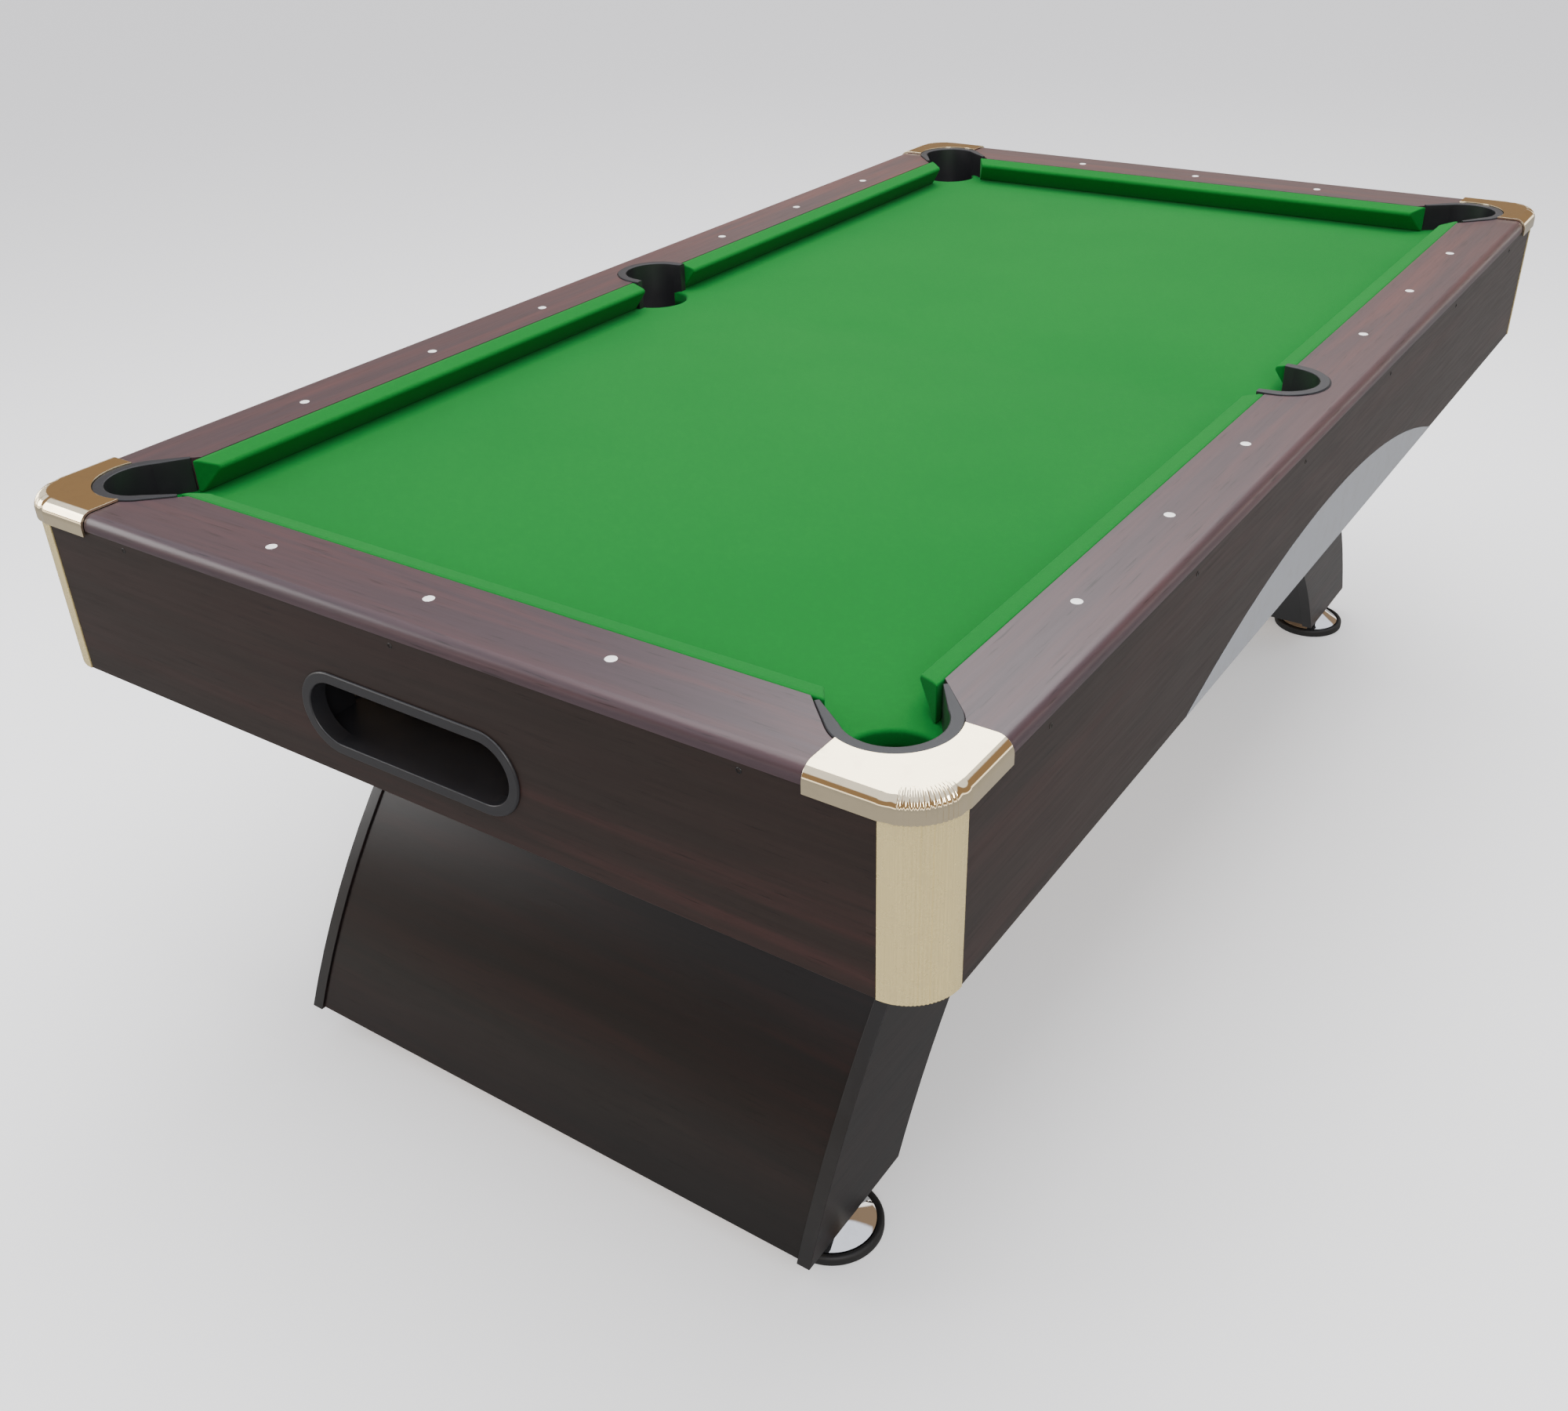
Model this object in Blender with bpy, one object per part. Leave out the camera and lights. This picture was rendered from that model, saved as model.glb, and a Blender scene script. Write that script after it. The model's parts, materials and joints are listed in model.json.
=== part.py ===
"""Seven-foot pool table with two arched pedestal legs, gilt corners and a ball return at one end.

Frame: origin on the floor under the middle of the table, +Z up, +Y along the table. The ball window
is in the -Y end, called the near end. +X is the right-hand side for someone who looks along +Y.
"""

import math

import bmesh
import bpy
from mathutils import Matrix, Vector

# Playing field, nose to nose, and how the rails are built up round it
FIELD_WIDTH = 0.974
FIELD_LENGTH = 1.919
CUSHION_DEPTH = 0.028
SIDE_RAIL_WIDTH = 0.097
END_RAIL_WIDTH = 0.1015
TABLE_HEIGHT = 0.808
RAIL_TO_BED = 0.042
RAIL_ROUND = 0.014
RAIL_OVER_APRON = 0.018
NOSE_DROP = 0.005
NOSE_ROUND = 0.005
CUSHION_FOOT = 0.0045

# Cloth and bed
CLOTH_THICKNESS = 0.0012
BED_THICKNESS = 0.018
GAP = 0.0003

# Aprons
APRON_HEIGHT = 0.199
APRON_THICKNESS = 0.018
APRON_RECESS = 0.001
BED_CLEARANCE = 0.001
BED_CORNER_SEGMENTS = 6
INLAY_HALF_CHORD = 0.510
INLAY_RISE = 0.087
INLAY_THICKNESS = 0.0015

# Pockets: a U-shaped lip on top, and a round drop under it
POCKET_HOLE = 0.048
LIP_WIDTH = 0.013
LIP_PROUD = 0.002
DROP_WALL = 0.0035
CORNER_POCKET_OUT = 0.0235
MIDDLE_POCKET_OUT = 0.029
CORNER_ARM = 0.042
CORNER_ARM_GAP = 0.0025
CORNER_MOUTH_SKEW = 0.66
MIDDLE_ARM = 0.012
MIDDLE_MOUTH_FLARE = 0.003
DROP_OVER_CHANNEL = 0.003
POCKET_SEGMENTS = 18

# Corners
CORNER_RADIUS = 0.055
TRIM_PROUD = 0.001
TRIM_WALL = 0.003
CASTING_PROUD = 0.0035
CASTING_WALL = 0.003
CASTING_SKIRT = 0.024
CASTING_ALONG_END = 0.126
CASTING_ALONG_SIDE = 0.128

# Ball window in the near apron
WINDOW_WIDTH = 0.282
WINDOW_HEIGHT = 0.074
WINDOW_BELOW_TOP = 0.138
BEZEL_RIM = 0.013
BEZEL_PROUD = 0.003
BEZEL_COLLAR = 0.0025

# Ball return: channels under the pockets that run down to the tray behind the window
CHANNEL_WIDTH = 0.066
CHANNEL_WALL = 0.003
CHANNEL_DEPTH = 0.045
CHANNEL_FAR_FLOOR = 0.132
CHANNEL_NEAR_FLOOR = 0.168
CROSS_CHANNEL_FALL = 0.007
TRAY_WIDTH = 0.330
TRAY_LENGTH = 0.160
TRAY_WALL = 0.006
TRAY_DEPTH = 0.092
TRAY_FLOOR_DROP = 0.002

# Cross beams and legs
BEAM_THICKNESS = 0.045
LEG_WIDTH = 0.830
LEG_ARCH_OUTER = 1.090
LEG_ARCH_BAND = 0.180
LEG_ARCH_CENTRE_BELOW_TOP = 1.210
LEG_CLEARANCE = 0.042
LEG_BOARD = 0.018
LEG_PANEL = 0.006
LEG_PANEL_RECESS = 0.003
LEG_INNER_ARC_BELOW_TOP = 0.358
LEG_TOP_BOARD = 0.022
LEG_BASE_BOARD = 0.022
ARCH_SEGMENTS = 14

# Levelling feet
FOOT_RADIUS = 0.064
FOOT_INSET = 0.034
PAD_FLOOR = 0.008
PAD_RIM_HEIGHT = 0.014
PAD_RIM_WIDTH = 0.009
DISH_NECK = 0.024
DISH_FLARE = 1.4
DISH_STEPS = 6
STEM_RADIUS = 0.005
STEM_HOLE_CLEARANCE = 0.0004
STEM_ABOVE_BASE = 0.028
TURNED_SEGMENTS = 24

# How finely round stretches are cut up
RAIL_SEGMENTS = 5
NOSE_SEGMENTS = 5
CASTING_SEGMENTS = 8
ROLL_SEGMENTS = 4
TRIM_SEGMENTS = 12
WINDOW_SEGMENTS = 12
PAD_RIM_SEGMENTS = 6
SHARP_FROM_DEGREES = 35

# Places that follow from the sizes above
NOSE_X = FIELD_WIDTH / 2
NOSE_Y = FIELD_LENGTH / 2
RAIL_INNER_X = NOSE_X + CUSHION_DEPTH
RAIL_INNER_Y = NOSE_Y + CUSHION_DEPTH
OUTER_X = RAIL_INNER_X + SIDE_RAIL_WIDTH
OUTER_Y = RAIL_INNER_Y + END_RAIL_WIDTH
APRON_X = OUTER_X - APRON_RECESS
APRON_Y = OUTER_Y - APRON_RECESS
BED_X = APRON_X - APRON_THICKNESS - BED_CLEARANCE
BED_Y = APRON_Y - APRON_THICKNESS - BED_CLEARANCE
CLOTH_TOP = TABLE_HEIGHT - RAIL_TO_BED
BED_TOP = CLOTH_TOP - CLOTH_THICKNESS - GAP
BED_UNDER = BED_TOP - BED_THICKNESS
APRON_TOP = TABLE_HEIGHT - RAIL_OVER_APRON
APRON_UNDER = APRON_TOP - APRON_HEIGHT
CORNER_X = OUTER_X - CORNER_RADIUS
CORNER_Y = OUTER_Y - CORNER_RADIUS
CORNER_POCKET_X = NOSE_X + CORNER_POCKET_OUT
CORNER_POCKET_Y = NOSE_Y + CORNER_POCKET_OUT
MIDDLE_POCKET_X = NOSE_X + MIDDLE_POCKET_OUT
LIP_RADIUS = POCKET_HOLE + LIP_WIDTH
DROP_RADIUS = POCKET_HOLE + DROP_WALL
CASTING_END_X = OUTER_X - CASTING_ALONG_END
CASTING_END_Y = OUTER_Y - CASTING_ALONG_SIDE
WINDOW_Z = TABLE_HEIGHT - WINDOW_BELOW_TOP
CHANNEL_X = (CORNER_POCKET_X + MIDDLE_POCKET_X) / 2
CHANNEL_HALF = CHANNEL_WIDTH / 2 + CHANNEL_WALL
CHANNEL_END_Y = CORNER_POCKET_Y + CHANNEL_HALF + GAP
CHANNEL_FAR_Z = TABLE_HEIGHT - CHANNEL_FAR_FLOOR
CHANNEL_NEAR_Z = TABLE_HEIGHT - CHANNEL_NEAR_FLOOR
TRAY_FLOOR_Z = WINDOW_Z - WINDOW_HEIGHT / 2 - TRAY_FLOOR_DROP
TRAY_FRONT_Y = APRON_Y - APRON_THICKNESS - GAP
LEG_HALF = LEG_WIDTH / 2
ARCH_INNER = LEG_ARCH_OUTER - LEG_ARCH_BAND
ARCH_Z = TABLE_HEIGHT - LEG_ARCH_CENTRE_BELOW_TOP
LEG_INNER_ARC_TOP = TABLE_HEIGHT - LEG_INNER_ARC_BELOW_TOP
LEG_TOP = APRON_UNDER - LEG_TOP_BOARD - GAP
FOOT_X = LEG_HALF - FOOT_INSET
SIDES = {"left": -1, "right": 1}
ENDS = {"near": -1, "far": 1}


def clear_scene():
    for obj in list(bpy.data.objects):
        bpy.data.objects.remove(obj, do_unlink=True)


def material(name, colour, roughness, metallic=0.0):
    made = bpy.data.materials.get(name)
    if made:
        return made
    made = bpy.data.materials.new(name)
    made.use_nodes = True
    shader = made.node_tree.nodes["Principled BSDF"]
    shader.inputs["Base Color"].default_value = (*colour, 1.0)
    shader.inputs["Roughness"].default_value = roughness
    shader.inputs["Metallic"].default_value = metallic
    return made


def wood_top():
    return material("rail_laminate", (0.115, 0.045, 0.035), 0.35)


def wood_apron():
    return material("apron_laminate", (0.085, 0.040, 0.030), 0.45)


def wood_leg():
    return material("leg_laminate", (0.045, 0.025, 0.022), 0.40)


def black_board():
    return material("black_board", (0.015, 0.015, 0.016), 0.50)


def raw_board():
    return material("fibreboard", (0.42, 0.28, 0.16), 0.80)


def green_cloth():
    return material("green_cloth", (0.035, 0.36, 0.085), 0.95)


def black_plastic():
    return material("black_plastic", (0.020, 0.022, 0.024), 0.45)


def gilt_chrome():
    return material("gilt_chrome", (0.90, 0.80, 0.55), 0.12, 1.0)


def gilt_satin():
    return material("gilt_satin", (0.72, 0.62, 0.33), 0.40, 1.0)


def silver_sheet():
    return material("silver_sheet", (0.36, 0.38, 0.41), 0.40)


def chrome():
    return material("chrome", (0.85, 0.86, 0.88), 0.08, 1.0)


def rubber():
    return material("rubber", (0.012, 0.012, 0.012), 0.70)


def arc(centre, radius, start, end, segments):
    """Points along an arc, from angle start to angle end in degrees, both included."""
    points = []
    for step in range(segments + 1):
        angle = math.radians(start + (end - start) * step / segments)
        points.append((centre[0] + radius * math.cos(angle), centre[1] + radius * math.sin(angle)))
    return points


def prism(outline, low, high, along="Z"):
    """A closed solid: a flat outline pushed from low to high along one axis.

    The outline is (x, y) along Z, (y, z) along X, and (x, z) along Y.
    """
    places = {
        "Z": lambda a, b: Vector((a, b, low)),
        "X": lambda a, b: Vector((low, a, b)),
        "Y": lambda a, b: Vector((a, low, b)),
    }
    pushes = {
        "Z": Vector((0, 0, high - low)),
        "X": Vector((high - low, 0, 0)),
        "Y": Vector((0, high - low, 0)),
    }
    bm = bmesh.new()
    face = bm.faces.new([bm.verts.new(places[along](a, b)) for a, b in outline])
    pushed = bmesh.ops.extrude_face_region(bm, geom=[face])["geom"]
    moved = [item for item in pushed if isinstance(item, bmesh.types.BMVert)]
    bmesh.ops.translate(bm, verts=moved, vec=pushes[along])
    bmesh.ops.recalc_face_normals(bm, faces=bm.faces)
    return bm


def box(low, high):
    outline = [(low[0], low[1]), (high[0], low[1]), (high[0], high[1]), (low[0], high[1])]
    return prism(outline, low[2], high[2])


def turned(profile):
    """A solid of revolution about Z from (radius, height) points that run from axis to axis."""
    bm = bmesh.new()
    chain = [bm.verts.new((radius, 0, height)) for radius, height in profile]
    edges = [bm.edges.new(pair) for pair in zip(chain, chain[1:])]
    bmesh.ops.spin(
        bm,
        geom=chain + edges,
        cent=(0, 0, 0),
        axis=(0, 0, 1),
        angle=math.tau,
        steps=TURNED_SEGMENTS,
        use_merge=True,
    )
    bmesh.ops.remove_doubles(bm, verts=bm.verts, dist=1e-6)
    bmesh.ops.recalc_face_normals(bm, faces=bm.faces)
    return bm


def mirrored(bm, x_sign, y_sign=1):
    """The same solid on the other side or at the other end."""
    bmesh.ops.transform(bm, matrix=Matrix.Diagonal((x_sign, y_sign, 1, 1)), verts=bm.verts)
    bmesh.ops.recalc_face_normals(bm, faces=bm.faces)
    return bm


def finish(name, bm, look, origin=(0, 0, 0), smooth=False):
    """The piece as an object, with its origin at a natural point of the piece."""
    bmesh.ops.translate(bm, verts=bm.verts, vec=-Vector(origin))
    mesh = bpy.data.meshes.new(name)
    bm.to_mesh(mesh)
    bm.free()
    if smooth:
        mesh.shade_smooth()
        mesh.set_sharp_from_angle(angle=math.radians(SHARP_FROM_DEGREES))
    obj = bpy.data.objects.new(name, mesh)
    obj.location = origin
    if look:
        mesh.materials.append(look)
    bpy.context.scene.collection.objects.link(obj)
    return obj


def helper(name, bm):
    obj = finish(name, bm, None)
    obj.hide_render = True
    obj.display_type = "WIRE"
    return obj


def boolean(obj, bm, operation="DIFFERENCE"):
    """Cuts a solid from a piece, or adds it."""
    made = obj.modifiers.new(operation.lower(), "BOOLEAN")
    made.operation = operation
    made.solver = "EXACT"
    made.object = helper(f"{obj.name}_{operation.lower()}_{len(obj.modifiers)}", bm)


def pocket_places():
    """Each pocket's name, centre, the way its closed side faces, and the length of its arms."""
    places = []
    for end, y_sign in ENDS.items():
        for side, x_sign in SIDES.items():
            centre = (x_sign * CORNER_POCKET_X, y_sign * CORNER_POCKET_Y)
            places.append((f"{end}_{side}", centre, math.atan2(y_sign, x_sign), CORNER_ARM))
    for side, x_sign in SIDES.items():
        centre = (x_sign * MIDDLE_POCKET_X, 0)
        places.append((f"middle_{side}", centre, math.atan2(0, x_sign), MIDDLE_ARM))
    return places


def pocket_u(centre, facing, radius, arm, low, high):
    """A U-shaped block round a pocket: half a circle on the closed side, straight arms on the other."""
    outline = arc((0, 0), radius, -90, 90, POCKET_SEGMENTS) + [(-arm, radius), (-arm, -radius)]
    bm = prism(outline, low, high)
    bmesh.ops.rotate(bm, verts=bm.verts, matrix=Matrix.Rotation(facing, 3, "Z"))
    bmesh.ops.translate(bm, verts=bm.verts, vec=(*centre, 0))
    return bm


def disc(centre, radius, low, high, segments=2 * POCKET_SEGMENTS):
    return prism(arc(centre, radius, 0, 360 * (segments - 1) / segments, segments - 1), low, high)


def cut_pockets(obj, wanted):
    """Clears the room that the named pockets' lips and walls need."""
    for name, centre, facing, arm in pocket_places():
        if name in wanted:
            reach = arm + CUSHION_DEPTH + SIDE_RAIL_WIDTH
            top = TABLE_HEIGHT + LIP_RADIUS
            boolean(obj, pocket_u(centre, facing, LIP_RADIUS + GAP, reach, BED_UNDER, top))


def bed_outline():
    """The bed's rectangle, with its corners rounded to stay inside the corner trims."""
    radius = BED_X - CORNER_X + GAP
    corners = []
    for x_sign, y_sign, start in ((1, 1, 0), (-1, 1, 90), (-1, -1, 180), (1, -1, 270)):
        centre = (x_sign * (BED_X - radius), y_sign * (BED_Y - radius))
        corners += arc(centre, radius, start, start + 90, BED_CORNER_SEGMENTS)
    return corners


def make_bed():
    """The playing board, and the cloth stretched over it."""
    bm = prism(bed_outline(), BED_UNDER, BED_TOP)
    board = finish("bed_board", bm, raw_board(), (0, 0, BED_TOP))
    bm = prism(bed_outline(), BED_TOP + GAP, CLOTH_TOP)
    cloth = finish("bed_cloth", bm, green_cloth(), (0, 0, CLOTH_TOP))
    low = BED_UNDER - BED_THICKNESS
    high = CLOTH_TOP + BED_THICKNESS
    for _, centre, _, _ in pocket_places():
        for obj in (board, cloth):
            boolean(obj, disc(centre, DROP_RADIUS + GAP, low, high))


def rail_profile(inner, outer, board_edge):
    """Section of a rail: it stands on the bed, laps over the apron and is rounded outside at the top."""
    under = CLOTH_TOP + GAP
    lap = APRON_TOP + GAP
    corner = (outer - RAIL_ROUND, TABLE_HEIGHT - RAIL_ROUND)
    profile = [(inner, under), (board_edge, under), (board_edge, lap), (outer, lap)]
    profile += arc(corner, RAIL_ROUND, 0, 90, RAIL_SEGMENTS)
    return profile + [(inner, TABLE_HEIGHT)]


def make_rails():
    for side, x_sign in SIDES.items():
        half = CASTING_END_Y - GAP
        bm = mirrored(prism(rail_profile(RAIL_INNER_X, OUTER_X, BED_X), -half, half, "Y"), x_sign)
        rail = finish(f"rail_{side}", bm, wood_top(), (x_sign * RAIL_INNER_X, 0, TABLE_HEIGHT))
        cut_pockets(rail, {f"near_{side}", f"far_{side}", f"middle_{side}"})
    for end, y_sign in ENDS.items():
        half = CASTING_END_X - GAP
        bm = mirrored(prism(rail_profile(RAIL_INNER_Y, OUTER_Y, BED_Y), -half, half, "X"), 1, y_sign)
        rail = finish(f"rail_{end}", bm, wood_top(), (0, y_sign * RAIL_INNER_Y, TABLE_HEIGHT))
        cut_pockets(rail, {f"{end}_left", f"{end}_right"})


def cushion_profile():
    """Section of a cushion: (distance out from the rail, height)."""
    nose_z = TABLE_HEIGHT - NOSE_DROP
    nose = (CUSHION_DEPTH - NOSE_ROUND, nose_z - NOSE_ROUND)
    profile = [(GAP, CLOTH_TOP + GAP), (CUSHION_FOOT, CLOTH_TOP + GAP)]
    profile += arc(nose, NOSE_ROUND, -60, 80, NOSE_SEGMENTS)
    return profile + [(CUSHION_FOOT, TABLE_HEIGHT - GAP), (GAP, TABLE_HEIGHT - GAP)]


def cushion(low_end, high_end):
    """A cushion along Y whose ends are cut askew: each end gives the place along Y for a distance out."""
    bm = bmesh.new()
    profile = cushion_profile()
    low = [bm.verts.new((-out, low_end(out), z)) for out, z in profile]
    high = [bm.verts.new((-out, high_end(out), z)) for out, z in profile]
    bm.faces.new(low)
    bm.faces.new(reversed(high))
    count = len(profile)
    for index in range(count):
        following = (index + 1) % count
        bm.faces.new((low[index], high[index], high[following], low[following]))
    bmesh.ops.recalc_face_normals(bm, faces=bm.faces)
    return bm


def corner_cut(centre_along, centre_across, rail_face):
    """The place along a rail where a corner pocket's arm stops its cushion, for a distance out."""
    arm_end = (CORNER_ARM + CORNER_ARM_GAP) * math.sqrt(2)
    stop = centre_along - arm_end - (rail_face - centre_across)
    return lambda out: stop - CORNER_MOUTH_SKEW * out


def middle_cut(out):
    """The place along a side rail where its cushion starts, for a distance out from the rail."""
    return LIP_RADIUS + 2 * GAP + MIDDLE_MOUTH_FLARE * out / CUSHION_DEPTH


def make_cushions():
    side_stop = corner_cut(CORNER_POCKET_Y, CORNER_POCKET_X, RAIL_INNER_X)
    end_stop = corner_cut(CORNER_POCKET_X, CORNER_POCKET_Y, RAIL_INNER_Y)
    for end, y_sign in ENDS.items():
        for side, x_sign in SIDES.items():
            bm = cushion(middle_cut, side_stop)
            bmesh.ops.translate(bm, verts=bm.verts, vec=(RAIL_INNER_X, 0, 0))
            origin = (x_sign * RAIL_INNER_X, y_sign * middle_cut(0), TABLE_HEIGHT)
            finish(f"cushion_{side}_{end}", mirrored(bm, x_sign, y_sign), green_cloth(), origin)
        bm = cushion(lambda out: -end_stop(out), end_stop)
        bmesh.ops.rotate(bm, verts=bm.verts, matrix=Matrix.Rotation(math.radians(90), 3, "Z"))
        bmesh.ops.translate(bm, verts=bm.verts, vec=(0, RAIL_INNER_Y, 0))
        origin = (0, y_sign * RAIL_INNER_Y, TABLE_HEIGHT)
        finish(f"cushion_{end}", mirrored(bm, 1, y_sign), green_cloth(), origin)


def make_pocket_cups():
    """Lip, wall and drop of each pocket in one moulding. Its arms end where the cushions begin."""
    wall_low = CLOTH_TOP + GAP
    top = TABLE_HEIGHT + LIP_PROUD
    low = CHANNEL_FAR_Z + CHANNEL_DEPTH + DROP_OVER_CHANNEL
    clear = top + LIP_RADIUS
    for name, centre, facing, arm in pocket_places():
        bm = pocket_u(centre, facing, LIP_RADIUS, arm, wall_low, top)
        cup = finish(f"pocket_cup_{name}", bm, black_plastic(), (*centre, top), smooth=True)
        boolean(cup, disc(centre, DROP_RADIUS, low, wall_low + 2 * DROP_WALL), "UNION")
        boolean(cup, disc(centre, POCKET_HOLE, low - DROP_WALL, clear))
        boolean(cup, pocket_u(centre, facing, POCKET_HOLE, LIP_RADIUS + arm, BED_TOP, clear))


def casting_block(inset, roll, bottom, beyond):
    """The corner's outline in the far right-hand corner, rounded over along its outer top edge."""
    radius = CORNER_RADIUS + CASTING_PROUD - inset
    top = TABLE_HEIGHT + CASTING_PROUD - inset
    right = CORNER_X + radius
    far = CORNER_Y + radius
    outline = [(CASTING_END_X - beyond, CASTING_END_Y - beyond), (right, CASTING_END_Y - beyond)]
    outline += arc((CORNER_X, CORNER_Y), radius, 0, 90, CASTING_SEGMENTS)
    outline += [(CASTING_END_X - beyond, far)]
    bm = prism(outline, bottom, top)
    rolled = [
        edge
        for edge in bm.edges
        if all(v.co.z > top - GAP for v in edge.verts)
        and all(v.co.x > right - radius - GAP or v.co.y > far - GAP for v in edge.verts)
        and not all(v.co.y < CASTING_END_Y - beyond + GAP for v in edge.verts)
        and not all(v.co.x < CASTING_END_X - beyond + GAP for v in edge.verts)
    ]
    bmesh.ops.bevel(
        bm,
        geom=rolled,
        offset=roll,
        segments=ROLL_SEGMENTS,
        profile=0.5,
        affect="EDGES",
        material=-1,
    )
    return bm


def make_castings():
    """Gilt corner plates that carry on the rails' section round the corner."""
    skirt = TABLE_HEIGHT - CASTING_SKIRT
    roll = RAIL_ROUND + CASTING_PROUD
    for end, y_sign in ENDS.items():
        for side, x_sign in SIDES.items():
            bm = mirrored(casting_block(0, roll, skirt, 0), x_sign, y_sign)
            origin = (x_sign * CORNER_X, y_sign * CORNER_Y, TABLE_HEIGHT + CASTING_PROUD)
            casting = finish(f"corner_casting_{end}_{side}", bm, gilt_chrome(), origin, smooth=True)
            hollow = casting_block(CASTING_WALL, roll - CASTING_WALL, skirt - CASTING_WALL, CASTING_WALL)
            boolean(casting, mirrored(hollow, x_sign, y_sign))
            cut_pockets(casting, {f"{end}_{side}"})


def make_trims():
    """Upright corner profiles: a quarter-round face with a flat lip against each apron's end."""
    face = CORNER_RADIUS - APRON_RECESS + TRIM_PROUD
    back = face - TRIM_WALL
    lip = face - TRIM_PROUD - APRON_THICKNESS
    outline = arc((CORNER_X, CORNER_Y), face, 0, 90, TRIM_SEGMENTS)
    outline += [(CORNER_X, CORNER_Y + lip), (CORNER_X + TRIM_WALL, CORNER_Y + lip)]
    outline += arc((CORNER_X, CORNER_Y), back, 85, 5, TRIM_SEGMENTS - 2)
    outline += [(CORNER_X + lip, CORNER_Y + TRIM_WALL), (CORNER_X + lip, CORNER_Y)]
    for end, y_sign in ENDS.items():
        for side, x_sign in SIDES.items():
            bm = mirrored(prism(outline, APRON_UNDER, APRON_TOP), x_sign, y_sign)
            origin = (x_sign * CORNER_X, y_sign * CORNER_Y, APRON_UNDER)
            finish(f"corner_trim_{end}_{side}", bm, gilt_satin(), origin, smooth=True)


def inlay_outline(inset, below):
    """The silver inlay's outline on the side apron: a chord by the bottom edge and an arc over it."""
    radius = (INLAY_HALF_CHORD**2 + INLAY_RISE**2) / (2 * INLAY_RISE)
    centre_z = APRON_UNDER + INLAY_RISE - radius
    spread = math.degrees(math.acos((APRON_UNDER - below - centre_z) / (radius - inset)))
    return arc((0, centre_z), radius - inset, 90 - spread, 90 + spread, 2 * ARCH_SEGMENTS)


def stadium(centre, width, height):
    """An oval with straight sides and round ends."""
    radius = height / 2
    reach = width / 2 - radius
    right = arc((centre[0] + reach, centre[1]), radius, -90, 90, WINDOW_SEGMENTS)
    return right + arc((centre[0] - reach, centre[1]), radius, 90, 270, WINDOW_SEGMENTS)


def make_aprons():
    for end, y_sign in ENDS.items():
        outer = y_sign * APRON_Y
        low, high = sorted((outer, outer - y_sign * APRON_THICKNESS))
        half = CORNER_X - GAP
        bm = box((-half, low, APRON_UNDER), (half, high, APRON_TOP))
        apron = finish(f"apron_{end}", bm, wood_apron(), (0, outer, APRON_UNDER))
        if end == "near":
            grown = 2 * (BEZEL_COLLAR + GAP)
            hole = stadium((0, WINDOW_Z), WINDOW_WIDTH + grown, WINDOW_HEIGHT + grown)
            boolean(apron, prism(hole, low - APRON_THICKNESS, high + APRON_THICKNESS, "Y"))
    for side, x_sign in SIDES.items():
        outer = x_sign * APRON_X
        low, high = sorted((outer, outer - x_sign * APRON_THICKNESS))
        half = CORNER_Y - GAP
        bm = box((low, -half, APRON_UNDER), (high, half, APRON_TOP))
        apron = finish(f"apron_{side}", bm, wood_apron(), (outer, 0, APRON_UNDER))
        floor = outer - x_sign * (INLAY_THICKNESS - GAP)
        ends = sorted((floor, outer + x_sign * APRON_THICKNESS))
        boolean(apron, prism(inlay_outline(0, INLAY_THICKNESS), *ends, "X"))
        ends = sorted((floor + x_sign * GAP, outer + x_sign * GAP))
        inlay = prism(inlay_outline(GAP, 0), *ends, "X")
        finish(f"side_inlay_{side}", inlay, silver_sheet(), (outer, 0, APRON_UNDER))


def make_bezel():
    """Oval frame of the ball window: a rim against the apron and a collar through it."""
    face = -APRON_Y - BEZEL_PROUD
    centre = (0, WINDOW_Z)
    rim = stadium(centre, WINDOW_WIDTH + 2 * BEZEL_RIM, WINDOW_HEIGHT + 2 * BEZEL_RIM)
    collar = stadium(centre, WINDOW_WIDTH + 2 * BEZEL_COLLAR, WINDOW_HEIGHT + 2 * BEZEL_COLLAR)
    hole = stadium(centre, WINDOW_WIDTH, WINDOW_HEIGHT)
    bm = prism(rim, face, -APRON_Y - GAP, "Y")
    bezel = finish("window_bezel", bm, black_plastic(), (0, -APRON_Y, WINDOW_Z), smooth=True)
    boolean(bezel, prism(collar, face + GAP, -APRON_Y + APRON_THICKNESS, "Y"), "UNION")
    boolean(bezel, prism(hole, face - APRON_THICKNESS, -APRON_Y + 2 * APRON_THICKNESS, "Y"))


def make_tray():
    """Open box behind the window that the balls run into, with a slot in each side for a channel."""
    half = TRAY_WIDTH / 2
    back = TRAY_FRONT_Y - TRAY_LENGTH
    low = TRAY_FLOOR_Z - TRAY_WALL
    top = low + TRAY_DEPTH
    over = top + TRAY_WALL
    bm = box((-half, -TRAY_FRONT_Y, low), (half, -back, top))
    tray = finish("ball_tray", bm, black_plastic(), (0, -TRAY_FRONT_Y, low))
    inner = half - TRAY_WALL
    front = -TRAY_FRONT_Y - TRAY_WALL
    boolean(tray, box((-inner, front, TRAY_FLOOR_Z), (inner, -back - TRAY_WALL, over)))
    beyond = half + TRAY_WALL
    slot_low = -CORNER_POCKET_Y - CHANNEL_HALF
    slot_high = -CORNER_POCKET_Y + CHANNEL_HALF
    boolean(tray, box((-beyond, slot_low, TRAY_FLOOR_Z), (beyond, slot_high, over)))


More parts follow.
